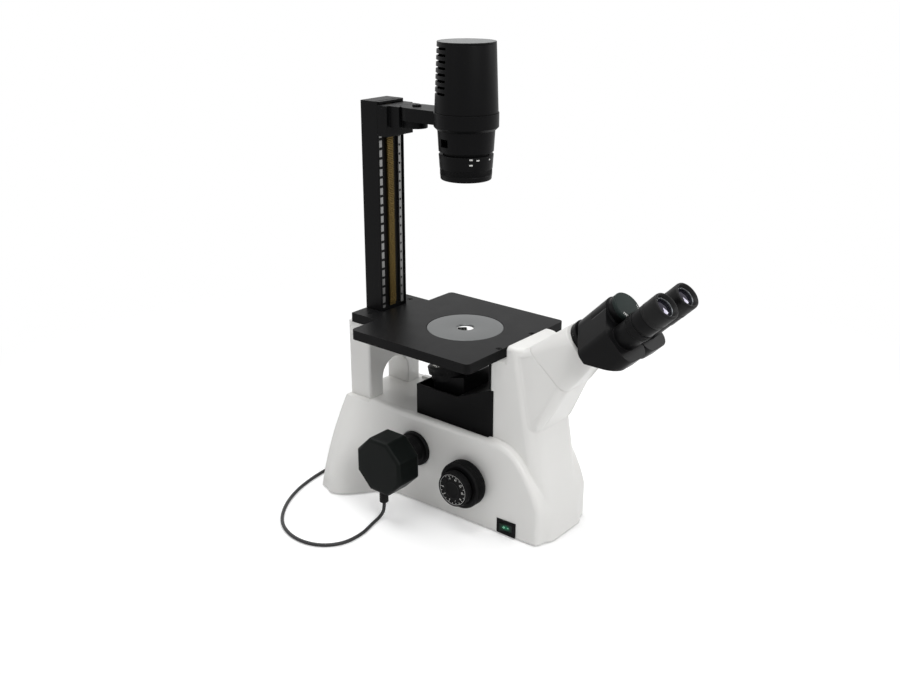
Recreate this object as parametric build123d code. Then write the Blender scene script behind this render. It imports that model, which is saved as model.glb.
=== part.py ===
from build123d import *
import os
from math import cos, pi, radians, sin, sqrt, tan

# Inverted microscope with a side camera, in millimetres
# The origin is on the bench below the objective in use, the eyepieces face -Y, the lamp column stands at +Y

# Fits
run_fit = 0.05        # a shaft in its bore, on the radius
slip = 0.15           # flat slides
seat = 0.3            # loose seats and covers
moving_gap = 0.6      # between bodies that pass each other

# Heights of the stand
stage_top = 265.0
stage_thick = 14.0
shelf_top = 134.0
shelf_thick = 9.0
lip_rise = 4.0
lip_width = 6.0
recess_half = 54.0
foot_gap = 2.5
mirror_height = 93.0
tube_tilt = 45.0

# Plan of the base, right-hand half
front_half, front_y, front_bow = 59.0, -174.0, 7.0
waist_half, waist_y = 65.5, -13.0
hip_half, hip_y = 68.0, 65.0
flare_y, toe_y, rear_y = 115.0, 152.0, 178.0
toe_height = 60.0
flare_low, toe_low, rear_low = 104.0, 131.0, 123.0
flare_mid, toe_mid, rear_mid = 90.0, 112.0, 105.0
flare_top, toe_top, rear_top = 65.0, 63.0, 62.0
fender_y, fender_mid, fender_z, fender_front = -92.0, (-153.0, 101.0), 10.0, -181.0
fender_round = 7.0
pocket_half, pocket_front, pocket_rear = 50.0, -140.0, 165.0
pocket_step, toe_pocket_top = -112.0, 82.0
plate_thick = 3.0

# Tower in front of the stage
tower_half = 48.0
tower_rear = -84.0
block_rear, block_rise = -109.0, 11.0
seam_at = 229.0
shoulder_y, neck_waist = -134.0, (-157.0, 160.0)
tower_knee = (-176.0, 50.0)
tower_toe = -184.0
knee_bend = 150.0
tower_round, tower_edge = 20.0, 6.0
light_bore = 15.0
cavity_half, cavity_front, cavity_rear, cavity_drop = 38.0, -136.0, -94.0, 15.0

# Neck and viewing head, measured along the inclined tube from the mirror
neck_end = 284.0
neck_end_width, neck_end_height, neck_end_round = 62.0, 48.0, 20.0
neck_root_round = 12.0
tube_lens_radius, tube_lens_depth = 18.0, 12.0
flange_radius, flange_long = 26.0, 9.0
core_radius = 20.5
arm_start, arm_end = 297.0, 352.0
arm_wall, arm_split = 3.5, 0.5
eye_offset = 40.0
eye_half_distance = 25.6
lobe_half, lobe_low, lobe_top, lobe_round = 25.0, -62.0, -6.0, 15.0
lobe_bevel = 34.0
hub_radius, hub_face = 21.7, 367.0
hub_thick = 6.0
tube_radius, tube_end = 17.6, 386.0
eyepiece_radius, eyepiece_end = 18.6, 430.0
eye_sleeve = 11.6
eye_lens_radius = 11.5
diopter_long, diopter_radius = 11.0, 19.2
eye_relief = 6.0

# Stage
stage_half = 111.0
stage_front, stage_back = -93.0, 118.0
stage_corner = 7.0
tongue_half, tongue_end = 58.0, 168.0
stage_hole, insert_radius, insert_thick, insert_hole = 50.0, 55.0, 3.0, 12.0
recess_radius, recess_depth = 66.0, 6.0
screw_head, screw_shank, screw_deep = 4.0, 2.4, 10.0
screw_front_x, screw_rear_x = 38.0, 43.0

# Bridge and column behind the stage
bridge_half, bridge_front, bridge_round = 56.0, 136.0, 4.0
arch_half, arch_roof = 29.0, 17.0
column_half, column_depth, column_top = 27.0, 32.0, 570.5
column_wall = 4.0
channel_half, channel_deep = 25.0, 5.5
rail_inner, rail_outer, rail_thick, rail_flare = 18.0, 21.5, 3.5, 1.0
rail_foot = 4.0
rack_half, rack_back = 6.0, 3.0
lift_module, lift_teeth = 0.8, 14
tooth_play = 0.25

# Lamp carriage and arm
carriage_depth, carriage_low = 17.5, 523.5
pivot_y = 87.0
bracket_front = 100.5
arm_half, arm_low, arm_top = 22.0, 548.0, 566.0
boss_radius, boss_low = 15.0, 537.0
pivot_radius, pivot_head, pivot_rise = 6.0, 6.5, 3.0
lift_shaft, lift_knob_radius, lift_knob_long = 3.0, 17.0, 20.0

# Lamp house and condenser on the optical axis
ring_outer, ring_bore, ring_low, ring_top = 43.5, 39.0, 544.0, 566.5
ring_bevel = 4.0
house_foot, house_head, house_high = 42.5, 39.0, 87.5
house_wall = 2.5
house_ledge, house_ledge_top = 31.0, 554.0
lid_thick = 3.0
slot_count, slot_lift, slot_pitch, slot_high = 8, 16.5, 8.4, 3.4
slot_side, slot_front = 12.0, 3.0
barrel_top, barrel_foot, barrel_low = 38.6, 37.0, 516.0
sleeve_radius, sleeve_bore, sleeve_low = 31.0, 27.2, 480.0
groove_high = 4.0
iris_low, iris_top_radius, iris_low_radius = 478.0, 37.0, 34.8
lens_ledge = 24.0
lens_thick = 4.0
window_y, window_wide, window_low, window_high = 8.0, 14.0, 523.0, 534.0
socket_radius, socket_long, socket_post, post_long = 9.0, 24.0, 4.5, 14.0
bulb_radius, bulb_long = 5.5, 28.0

# Nosepiece
shroud_half, shroud_rear, shroud_wall, shroud_tab = 48.0, 51.0, 3.0, 4.0
shroud_rise_y, shroud_low_side, shroud_high_side = -24.0, 46.0, 72.0
objective_drop = 35.0
turret_tilt, turret_pitch = 15.0, 25.0
turret_radius, turret_thick = 37.0, 14.0
turret_pivot, turret_pivot_long = 9.0, 9.0
objective_radius = 11.5
objective_lengths = {"4x": 32.0, "10x": 40.0, "20x": 41.0, "40x": 43.0}
objective_tips = {"4x": 8.0, "10x": 6.5, "20x": 5.5, "40x": 4.0}
objective_thread, objective_stub = 9.5, 5.0
carrier_half, carrier_front, carrier_lift, carrier_play = 30.0, -22.0, 18.0, 8.0
guide_half, guide_rear, guide_thick, guide_high = 14.0, 42.0, 8.0, 36.0
tee_half, tee_thick, tee_neck, tee_reach = 11.0, 4.0, 7.0, 6.0
carrier_disc, carrier_disc_thick, carrier_cut = 34.0, 10.0, 44.0
leg_inner, leg_outer, leg_low = 33.0, 41.0, 44.0
leg_front, leg_rear, ear_inner, ear_high = -46.0, -30.0, 26.0, 14.0
rack_reach = 20.0

# Folding mirror
mirror_radius, mirror_thick, tray_thick = 17.0, 3.0, 4.0
cheek_inner, cheek_outer, cheek_half, cheek_drop = 18.0, 22.0, 14.0, 12.0

# Focus drive across the base
focus_y, focus_z = -59.0, 67.0
focus_module, focus_teeth = 0.8, 15
fine_shaft_radius, coarse_shaft_radius = 3.0, 4.5
bush_radius, bush_flange, bush_face = 12.0, 17.0, 61.0
bush_flange_thick = 4.0
coarse_radius, coarse_start, coarse_end = 34.0, 66.2, 87.0
fine_radius, fine_end = 25.5, 101.0
fine_cover = 5.0

# Side port and camera
port_y, port_z = 38.0, 88.0
port_face, port_radius, port_flange, port_flange_thick = 65.0, 20.0, 26.0, 7.0
port_neck = 19.0
camera_inner, camera_outer = 104.0, 147.0
camera_across, camera_edge = 81.0, 3.0
gland_x, gland_y, gland_radius, gland_tip, gland_long = -127.0, 46.0, 6.2, 3.8, 26.0
cable_radius, bench_gap = 2.5, 0.1
lie = cable_radius + bench_gap
cable_turns = [(-127, 46, 12.5), (-131, 45.5, 6.2), (-140, 44.5, lie), (-158, 40.5, lie), (-188, 32, lie),
               (-224, 35, lie), (-250, 60, lie), (-256, 100, lie), (-240, 142, lie), (-204, 174, lie),
               (-160, 196, lie), (-112, 207, lie), (-62, 210.5, lie), (-12, 210.5, lie), (30, 210, lie),
               (60, 209.2, lie)]
coil_centre, coil_inner, coil_outer, coil_top = (60.0, 246.0), 16.2, 39.8, 11.2
plug_x, plug_start, plug_long, plug_half, plug_high, plug_round = 97.0, 274.0, 30.0, 7.0, 8.0, 2.0
shell_long, shell_wide, shell_thick = 18.0, 6.0, 4.5

# Electrics in the base
switch_front, switch_rear, switch_low, switch_high = -139.0, -108.0, 2.6, 24.6
switch_floor, switch_face, switch_rim, switch_depth, switch_wall = 60.0, 62.2, 3.5, 9.0, 1.0
rocker_lean, rocker_high, rocker_deep, rocker_pin = 8.0, 1.4, 4.0, 1.2
dial_y, dial_z, dial_radius, dial_long, dial_shaft, dial_gap = -123.0, 24.0, 11.0, 12.0, 3.0, 1.0
dial_wall = 62.5
inlet_half, inlet_low, inlet_high = 14.0, 28.0, 48.0
inlet_flange, inlet_flange_thick, inlet_deep = 4.0, 2.0, 24.0
socket_inset, socket_deep = 3.5, 16.0
blade_half, blade_thick, blade_long, blade_pitch, blade_rise = 2.0, 1.0, 12.0, 7.0, 4.0

# Feet
foot_radius, foot_high = 11.0, 8.0
front_foot, rear_foot = (40.0, -158.0), (104.0, 148.0)

# Values that follow from the sizes above
stage_low = stage_top - stage_thick
block_top = stage_top + block_rise
lip_top = shelf_top + lip_rise
pocket_top = shelf_top - shelf_thick
bridge_rear = rear_y
arch_spring = stage_low - arch_roof - arch_half
channel_floor = bridge_front + channel_deep
house_top = ring_top + house_high
socket_high = house_top - post_long
socket_low = socket_high - socket_long
shroud_top, shroud_high = shelf_top + shroud_low_side, shelf_top + shroud_high_side
carrier_low, guide_top = shelf_top + carrier_lift, shelf_top + guide_high
objective_seat = stage_low - objective_drop
core_end = hub_face - hub_thick
focus_radius = focus_module * focus_teeth / 2
focus_line = focus_y + focus_radius
lift_radius = lift_module * lift_teeth / 2
bench = Plane.XY
tube = Plane((0, 0, mirror_height), x_dir=(1, 0, 0),
             z_dir=(0, -sin(radians(tube_tilt)), cos(radians(tube_tilt))))
across = Plane((0, 0, 0), x_dir=(0, 1, 0), z_dir=(1, 0, 0))
focus_shaft = across * Pos(focus_y, focus_z, 0)
mirror_plane = Plane((0, 0, mirror_height), x_dir=(1, 0, 0),
                     z_dir=(0, -sin(radians(tube_tilt / 2)), cos(radians(tube_tilt / 2))))
turret_centre = (0, turret_pitch * cos(radians(turret_tilt)),
                 objective_seat - turret_pitch * sin(radians(turret_tilt)))
turret_plane = Plane(turret_centre, x_dir=(1, 0, 0),
                     z_dir=(0, sin(radians(turret_tilt)), cos(radians(turret_tilt))))
rocker_axis = (-switch_floor, (switch_front + switch_rear) / 2, (switch_low + switch_high) / 2)
plug_middle = (bench_gap + plug_high) / 2
gland_end = port_z - camera_across / 2 - gland_long
cable_route = [(gland_x, gland_y, gland_end), *cable_turns]


def block(x, y, z):
    """Box between low and high values on each axis."""
    return Pos(sum(x) / 2, sum(y) / 2, sum(z) / 2) * Box(x[1] - x[0], y[1] - y[0], z[1] - z[0])


def rod(plane, radius, low, high, at=(0, 0)):
    """Cylinder along a plane's normal, between two heights above it."""
    upright = (Align.CENTER, Align.CENTER, Align.MIN)
    return plane * Pos(at[0], at[1], low) * Cylinder(radius, high - low, align=upright)


def turned(plane, *outline):
    """Piece turned about a plane's normal from (radius, height) points."""
    return plane * revolve(Plane.XZ * make_face(Polyline(*outline, close=True)), Axis.Z)


def tube_point(s, t):
    """(y, z) of a point s along the inclined tube and t above its axis."""
    a = radians(tube_tilt)
    return (-s * sin(a) + t * cos(a), mirror_height + s * cos(a) + t * sin(a))


def mirrored(piece):
    return mirror(piece, Plane.YZ)


# Stand casting: flared base with a shelf, and the tower that carries the neck
def base_section(height, flare, toe, rear):
    wall = ThreePointArc((front_half, front_y), (waist_half, waist_y), (hip_half, hip_y))
    skirt = Spline((hip_half, hip_y), (flare, flare_y), (toe, toe_y), (rear, rear_y),
                   tangents=(wall % 1, (0, 1)))
    outline = Curve() + [
        ThreePointArc((-front_half, front_y), (0, front_y - front_bow), (front_half, front_y)),
        wall,
        skirt,
        Line((rear, rear_y), (-rear, rear_y)),
        mirrored(skirt),
        mirrored(wall),
    ]
    return Pos(0, 0, height) * make_face(outline)


def base_shape():
    low = base_section(foot_gap, flare_low, toe_low, rear_low)
    middle = base_section(toe_height, flare_mid, toe_mid, rear_mid)
    top = base_section(lip_top, flare_top, toe_top, rear_top)
    body = loft([low, middle, top])
    fender = Curve() + [
        Line((rear_y, foot_gap), (rear_y, lip_top)),
        Line((rear_y, lip_top), (fender_y, lip_top)),
        Spline((fender_y, lip_top), fender_mid, (fender_front, fender_z), tangents=((-1, 0), (0, -1))),
        Line((fender_front, fender_z), (fender_front, foot_gap)),
        Line((fender_front, foot_gap), (rear_y, foot_gap)),
    ]
    body = body & extrude(Plane.YZ * make_face(fender), toe_low + lip_width, both=True)
    rim = [e for e in body.edges() if abs(e.center().X) > front_half / 2 and e.center().Z > fender_z * 2
           and e.center().Y < toe_y and e.length > lip_width * 4]
    return fillet(rim, fender_round)


def neck_shape():
    """Tapering neck from the tower's shoulder to the end of the tube, before it is cut at the seam."""
    low, high = Vector(0, *neck_waist), Vector(0, shoulder_y, block_top)
    root_plane = Plane((low + high) * 0.5, x_dir=(1, 0, 0), z_dir=(high - low).cross(Vector(-1, 0, 0)))
    root = RectangleRounded(2 * tower_half, (high - low).length, neck_root_round)
    end = Pos(0, 0, neck_end) * RectangleRounded(neck_end_width, neck_end_height, neck_end_round)
    return loft([(root_plane * root).face(), (tube * end).face()])


def tower_shape():
    outline = make_face(Polyline(
        (tower_rear, foot_gap), (tower_rear, stage_low), (block_rear, stage_low), (block_rear, block_top),
        (shoulder_y, block_top), neck_waist, tower_knee, (tower_toe, foot_gap), close=True))
    outline = fillet(outline.vertices().sort_by_distance((*tower_knee, 0))[0], knee_bend)
    body = extrude(Plane.YZ * outline, tower_half, both=True)
    sides = body.faces().sort_by(Axis.X)
    rims = sides[0].edges() + sides[-1].edges()
    front = [e for e in rims
             if e.center().Y < neck_waist[0] + 2 and foot_gap + 1 < e.center().Z < neck_waist[1]]
    body = fillet(front, tower_round)
    back = [e for e in body.edges() if abs(abs(e.center().X) - tower_half) < 0.1
            and e.center().Z > block_top - 1]
    body = fillet(back, tower_edge)
    beyond = rod(tube, 4 * tower_half, seam_at, 2 * neck_end)
    return body + (neck_shape() - beyond)


def stand_casting():
    body = base_shape() + tower_shape()
    body -= block((-recess_half, recess_half), (tower_rear, bridge_front), (shelf_top, stage_top))
    body -= block((-toe_low, toe_low), (bridge_front - lip_width, rear_y * 2), (shelf_top, stage_top))
    body -= block((-pocket_half, pocket_half), (pocket_front, pocket_step + 1), (0, toe_pocket_top))
    body -= block((-pocket_half, pocket_half), (pocket_step, pocket_rear), (0, pocket_top))
    for side in (-1, 1):
        tab = sorted((side * (shroud_half - shroud_wall - seat), side * (tower_half + 1)))
        body -= block(tab, (tower_rear - shroud_tab - seat, tower_rear), (shelf_top, shroud_high + seat))
    body -= rod(bench, light_bore, pocket_top - 1, lip_top)
    body -= rod(tube, light_bore, light_bore, seam_at + 1)
    body -= block((leg_inner - moving_gap, leg_outer + moving_gap),
                  (focus_line - focus_module * 2, leg_rear + moving_gap), (pocket_top - 1, lip_top))
    body -= block((-cavity_half, cavity_half), (cavity_front, cavity_rear),
                  (pocket_top - 1, stage_low - cavity_drop))
    body -= focus_shaft * Cylinder(bush_radius, 3 * hip_half)
    for side in (-1, 1):
        flange_seat = Cylinder(bush_flange + seat, hip_half)
        body -= focus_shaft * Pos(0, 0, side * (bush_face + hip_half / 2)) * flange_seat
    body -= rod(across, port_radius, -2 * hip_half, 0, (port_y, port_z))
    body -= rod(across, port_flange + seat, -2 * hip_half, -port_face, (port_y, port_z))
    body -= block((-2 * hip_half, -switch_floor), (switch_front - seat, switch_rear + seat),
                  (switch_low - seat, switch_high + seat))
    body -= block((-hip_half, 0), (switch_front + switch_rim, switch_rear - switch_rim),
                  (switch_low + switch_rim, switch_high - switch_rim))
    body -= rod(across, dial_shaft + run_fit, 0, 2 * hip_half, (dial_y, dial_z))
    body -= rod(across, dial_radius + seat * 3, dial_wall, 2 * hip_half, (dial_y, dial_z))
    body -= block((-inlet_half, inlet_half), (pocket_rear - 1, rear_y * 2), (inlet_low, inlet_high))
    for place in feet_places():
        body -= rod(bench, foot_radius, 0, foot_high, place)
    for place in screw_places():
        body -= rod(bench, screw_shank, stage_low - screw_deep - seat, stage_top, place)
    return body


def feet_places():
    return [(side * x, y) for x, y in (front_foot, rear_foot) for side in (-1, 1)]


def rubber_feet():
    return [rod(bench, foot_radius - run_fit, 0, foot_high, place) for place in feet_places()]


def bottom_plate():
    return block((seat - pocket_half, pocket_half - seat), (pocket_front + seat, pocket_rear - seat),
                 (foot_gap, foot_gap + plate_thick))


def rear_bridge():
    body = block((-bridge_half, bridge_half), (bridge_front, bridge_rear), (shelf_top, stage_low))
    body = fillet(body.edges().filter_by(Axis.Z), bridge_round)
    body -= block((-arch_half, arch_half), (0, 2 * rear_y), (shelf_top, arch_spring))
    body -= Plane.XZ * Pos(0, arch_spring, -bridge_front) * Cylinder(arch_half, 4 * rear_y)
    for place in screw_places():
        body -= rod(bench, screw_shank, stage_low - screw_deep - seat, stage_top, place)
    return body


# Neck that turns the light out to the viewing head
def tube_neck():
    body = neck_shape() - rod(tube, 4 * tower_half, -neck_end, seam_at)
    lens_seat = rod(tube, tube_lens_radius + run_fit, neck_end - tube_lens_depth, neck_end + 1)
    return body - rod(tube, light_bore, seam_at - 1, neck_end) - lens_seat


def tube_lens():
    low = neck_end - tube_lens_depth
    return turned(tube, (0, low), (tube_lens_radius, low), (tube_lens_radius, low + lens_thick),
                  (tube_lens_radius / 2, low + lens_thick + 1.2), (0, low + lens_thick + 1.6))


# Viewing head: fixed core, two swinging prism arms and their eyepieces
def eye_place(side):
    return (side * eye_half_distance, -sqrt(eye_offset ** 2 - eye_half_distance ** 2))


def head_body():
    flange = rod(tube, flange_radius, neck_end, neck_end + flange_long)
    return flange + rod(tube, core_radius, neck_end, core_end) - rod(tube, light_bore, neck_end, arm_start)


def hub_disc():
    return turned(tube, (0, core_end), (hub_radius, core_end), (hub_radius, hub_face - 1.5),
                  (hub_radius - 1.5, hub_face), (0, hub_face))


def prism_arm(side):
    collar = core_radius + arm_wall
    middle = (arm_start + arm_end) / 2
    own, free = (arm_start, middle - slip), (middle - slip, arm_end + 1)
    if side > 0:
        own, free = (middle + slip, arm_end), (arm_start - 1, middle + slip)
    lobe = Pos(side * (lobe_half + arm_split), (lobe_low + lobe_top) / 2) * RectangleRounded(
        2 * lobe_half, lobe_top - lobe_low, lobe_round)
    hull = make_hull(lobe.edges() + Circle(collar).edges())
    hull = hull & Pos(side * (lobe_half + collar + arm_split), 0) * Rectangle(
        2 * (lobe_half + collar), 8 * lobe_half)
    body = tube * extrude(Pos(0, 0, arm_start) * hull, arm_end - arm_start)
    bevel = make_face(Polyline(
        tube_point(arm_start - 1, lobe_low + lobe_bevel + 1),
        tube_point(arm_start + lobe_bevel + 1, lobe_low - 1),
        tube_point(arm_start - 1, lobe_low - 1), close=True))
    body -= extrude(Plane.YZ * bevel, 4 * lobe_half, both=True)
    body -= rod(tube, collar + moving_gap, *free)
    body += rod(tube, collar, *own)
    if side > 0:
        body += rod(tube, hub_radius, arm_end, core_end - slip)
    body -= rod(tube, core_radius + run_fit, arm_start - 1, core_end)
    place = eye_place(side)
    body += rod(tube, tube_radius, arm_end, tube_end, place)
    return body - rod(tube, eye_sleeve + run_fit, arm_end - eye_sleeve, tube_end + 1, place)


def eyepiece(side):
    lens_at = eyepiece_end - eye_relief
    return turned(
        Plane(tube.location * Pos(*eye_place(side), 0)),
        (eye_lens_radius - 2, arm_end), (eye_sleeve, arm_end), (eye_sleeve, tube_end),
        (eyepiece_radius, tube_end),
        (eyepiece_radius, eyepiece_end - 2), (eyepiece_radius - 1.5, eyepiece_end),
        (eyepiece_radius - 3.5, eyepiece_end), (eye_lens_radius + run_fit, lens_at),
        (eye_lens_radius + run_fit, lens_at - lens_thick), (eye_lens_radius - 2, lens_at - lens_thick))


def eye_lens(side):
    high = eyepiece_end - eye_relief
    return turned(Plane(tube.location * Pos(*eye_place(side), 0)), (0, high - lens_thick),
                  (eye_lens_radius, high - lens_thick), (eye_lens_radius, high - 1),
                  (eye_lens_radius / 2, high - 0.2), (0, high))


def diopter_ring():
    bore, high = tube_radius + run_fit, tube_end - seat
    return turned(Plane(tube.location * Pos(*eye_place(-1), 0)), (bore, high - diopter_long),
                  (diopter_radius, high - diopter_long), (diopter_radius, high), (bore, high))


# Stage with its round insert
def stage_plate():
    notch = column_half + seat
    outline = make_face(Polyline(
        (-stage_half, stage_front), (stage_half, stage_front), (stage_half, stage_back),
        (tongue_half, stage_back),
        (tongue_half, tongue_end), (notch, tongue_end), (notch, bridge_front - seat),
        (-notch, bridge_front - seat), (-notch, tongue_end), (-tongue_half, tongue_end),
        (-tongue_half, stage_back), (-stage_half, stage_back), close=True))
    corners = [v for v in outline.vertices() if abs(v.X) > stage_half - 1]
    body = Pos(0, 0, stage_low) * extrude(fillet(corners, stage_corner), stage_thick)
    body -= rod(bench, stage_hole, stage_low - 1, stage_top + 1)
    body -= rod(bench, recess_radius, stage_low - 1, stage_low + recess_depth)
    body -= rod(bench, insert_radius, stage_top - insert_thick, stage_top + 1)
    for place in screw_places():
        body -= rod(bench, screw_shank + run_fit, stage_low - 1, stage_top, place)
        body -= rod(bench, screw_head + seat, stage_top - screw_head, stage_top + 1, place)
    return body


def screw_places():
    front = (tower_rear + stage_front) / 2
    rear = (stage_back + tongue_end) / 2
    return [(side * x, y) for x, y in ((screw_front_x, front), (screw_rear_x, rear)) for side in (-1, 1)]


def stage_screws():
    low = stage_low - screw_deep
    return [rod(bench, screw_head, stage_top - screw_head, stage_top - seat, place)
            + rod(bench, screw_shank - run_fit, low, stage_top - screw_head, place)
            for place in screw_places()]


def stage_insert():
    body = rod(bench, insert_radius - seat, stage_top - insert_thick, stage_top)
    return body - rod(bench, insert_hole, 0, stage_top + 1)


# Lamp column with its two guide rails and the brass rack
def column():
    rear = bridge_front + column_depth
    body = block((-column_half, column_half), (bridge_front, rear), (stage_low, column_top))
    body -= block((-channel_half, channel_half), (bridge_front, channel_floor), (stage_low, column_top))
    inner = column_half - column_wall
    return body - block((-inner, inner), (channel_floor + column_wall, rear - column_wall),
                        (stage_low, column_top - column_wall))


def rail_face(play):
    root, lip = channel_floor, channel_floor - rail_thick - play
    grow = rail_flare + play
    return make_face(Polyline((rail_inner - play, root), (rail_inner - grow, lip), (rail_outer + grow, lip),
                              (rail_outer + play, root), close=True))


def guide_rails():
    rail = extrude(Pos(0, 0, stage_top + rail_foot) * rail_face(0), column_top - stage_top - 2 * rail_foot)
    return [rail, mirrored(rail)]


def rack_outline(pitch_line, low, high, middle, module, back, toward):
    """Side profile (y, z) of a straight rack, with a tooth gap at the middle height."""
    pitch = pi * module
    lean = module * tan(radians(20))
    half = pitch / 4 - tooth_play / 2
    tip, root = pitch_line + toward * module, pitch_line - toward * 1.25 * module
    count = int((high - middle) / pitch - 1), int((middle - low) / pitch - 1)
    points = [(back, low), (root, low)]
    for k in range(-count[1], count[0] + 1):
        centre = middle + (k + 0.5) * pitch
        points += [(root, centre - half - 1.25 * lean), (tip, centre - half + lean),
                   (tip, centre + half - lean), (root, centre + half + 1.25 * lean)]
    return make_face(Polyline(*points, (root, high), (back, high), close=True))


def lift_rack():
    line = channel_floor - rack_back - 1.25 * lift_module
    outline = rack_outline(line, stage_top + rail_foot, column_top - rail_foot, lift_axis()[1], lift_module,
                           channel_floor, -1)
    return extrude(Plane.YZ * outline, rack_half, both=True)


def lift_axis():
    """(y, z) of the lift pinion."""
    line = channel_floor - rack_back - 1.25 * lift_module
    return (line - lift_radius, (carriage_low + arm_top) / 2)


def gear_face(module, teeth):
    """Spur gear with one tooth pointing along +X, thinned for running clearance."""
    radius = module * teeth / 2
    step = 2 * pi / teeth
    play = tooth_play / radius
    points = []
    for k in range(teeth):
        for share, r in ((-0.34, -1.2), (-0.14, 0.9), (0.14, 0.9), (0.34, -1.2)):
            angle = k * step + share * step - (play / 2 if share > 0 else -play / 2)
            points.append(((radius + r * module) * cos(angle), (radius + r * module) * sin(angle)))
    return make_face(Polyline(*points, close=True))


def lift_pinion():
    place = across * Pos(*lift_axis(), 0)
    gear = extrude(gear_face(lift_module, lift_teeth), rack_half - seat, both=True)
    low, high = -rail_inner + rail_flare + 1, column_half + lift_knob_long / 2
    return place * gear + rod(across, lift_shaft, low, high, lift_axis())


def lift_knob():
    low = column_half + moving_gap
    high = low + lift_knob_long
    bore_end = column_half + lift_knob_long / 2 + seat
    return turned(across * Pos(*lift_axis(), 0), (lift_shaft + run_fit, low), (lift_knob_radius - 3, low),
                  (lift_knob_radius - 3, low + 3), (lift_knob_radius, low + 4),
                  (lift_knob_radius, high - 1.5),
                  (lift_knob_radius - 1.5, high), (0, high), (0, bore_end), (lift_shaft + run_fit, bore_end))


# Carriage that rides on the rails, with the bracket for the swinging arm
def carriage():
    front = bridge_front - carriage_depth
    body = block((-column_half, column_half), (front, bridge_front - slip), (carriage_low, arm_top))
    tongue = channel_half - slip
    body += block((-tongue, tongue), (front, channel_floor - slip), (carriage_low, arm_top))
    bracket = block((-arm_half, arm_half), (bracket_front, front), (boss_low, arm_top))
    bracket -= rod(bench, arm_half + moving_gap, arm_low, arm_top + 1, (0, pivot_y))
    boss = block((-boss_radius, boss_radius), (pivot_y, front), (boss_low, arm_low))
    boss += rod(bench, boss_radius, boss_low, arm_low, (0, pivot_y))
    body += bracket + boss
    slot = extrude(rail_face(slip), 2 * column_top)
    body -= slot
    body -= mirrored(slot)
    y, z = lift_axis()
    body -= block((-rack_half - slip, rack_half + slip), (y, channel_floor), (0, 2 * column_top))
    body -= rod(across, lift_radius + lift_module + seat, -rack_half - slip, rack_half + slip, (y, z))
    body -= rod(across, lift_shaft + run_fit, -rail_inner + rail_flare, 2 * column_half, (y, z))
    return body - rod(bench, pivot_radius - seat, boss_low - 1, arm_top, (0, pivot_y))


def pivot_screw():
    return rod(bench, pivot_radius - seat - run_fit, boss_low, arm_low, (0, pivot_y)) + rod(
        bench, pivot_radius, arm_low, arm_top, (0, pivot_y)) + rod(
        bench, pivot_head, arm_top + slip, arm_top + pivot_rise, (0, pivot_y)) + rod(
        bench, pivot_radius, arm_top, arm_top + pivot_rise, (0, pivot_y))


def swing_arm():
    hub = rod(bench, arm_half, arm_low, arm_top, (0, pivot_y))
    web = block((-arm_half, arm_half), (0, pivot_y), (arm_low, arm_top))
    ring = turned(bench, (0, ring_low), (ring_outer - ring_bevel, ring_low),
                  (ring_outer, ring_low + ring_bevel),
                  (ring_outer, ring_top), (0, ring_top))
    body = hub + web + ring - rod(bench, ring_bore, ring_low - 1, arm_top + 1)
    body -= rod(bench, ring_outer, ring_top, 2 * ring_top)
    return body - rod(bench, pivot_radius + run_fit, arm_low - 1, arm_top + 1, (0, pivot_y))


# Lamp house, its lamp and the condenser
def lamp_house():
    inner_foot = ring_bore - run_fit - house_wall
    body = turned(
        bench, (house_ledge, ring_low), (ring_bore - run_fit, ring_low), (ring_bore - run_fit, ring_top),
        (house_foot, ring_top), (house_foot, ring_top + 2), (house_head, house_top),
        (house_head - house_wall, house_top), (house_foot - house_wall - 1, ring_top + 2 * house_wall),
        (inner_foot, ring_top + 2 * house_wall), (inner_foot, house_ledge_top),
        (house_ledge, house_ledge_top))
    for k in range(slot_count):
        height = ring_top + slot_lift + k * slot_pitch
        body -= block((-2 * house_foot, -slot_side), (slot_front, 2 * house_foot),
                      (height, height + slot_high))
    return body


def lamp_lid():
    return turned(bench, (0, house_top), (house_head, house_top), (house_head, house_top + lid_thick - 1.5),
                  (house_head - 1.5, house_top + lid_thick), (0, house_top + lid_thick))


def lamp_socket():
    post = rod(bench, socket_post, socket_high, house_top)
    return rod(bench, socket_radius, socket_low, socket_high) + post


def lamp_bulb():
    tip = socket_low - bulb_long + bulb_radius
    return rod(bench, bulb_radius, tip, socket_low) + Pos(0, 0, tip) * Sphere(bulb_radius)


def collector_lens():
    low, edge = house_ledge_top, ring_bore - run_fit - house_wall - run_fit
    return turned(bench, (0, low), (edge, low), (edge, low + lens_thick), (edge * 0.7, low + lens_thick + 4),
                  (edge * 0.35, low + lens_thick + 6), (0, low + lens_thick + 6.6))


def condenser_barrel():
    top = ring_low
    body = turned(
        bench, (sleeve_bore, top), (barrel_top, top), (barrel_foot, barrel_low), (sleeve_radius, barrel_low),
        (sleeve_radius, sleeve_low), (lens_ledge, sleeve_low), (lens_ledge, sleeve_low + lens_thick),
        (sleeve_bore, sleeve_low + lens_thick))
    return body - block((-2 * barrel_top, 0), (window_y - window_wide / 2, window_y + window_wide / 2),
                        (window_low, window_high))


def aperture_ring():
    top = barrel_low - groove_high
    return turned(
        bench, (sleeve_radius + run_fit, iris_low), (iris_low_radius - 1, iris_low),
        (iris_low_radius, iris_low + 1), (iris_top_radius, top), (sleeve_radius + run_fit, top))


def condenser_lens():
    low, edge = sleeve_low + lens_thick, sleeve_bore - run_fit
    return turned(bench, (0, low), (edge, low), (edge, low + lens_thick), (edge / 2, low + lens_thick + 4),
                  (0, low + lens_thick + 5))


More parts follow.
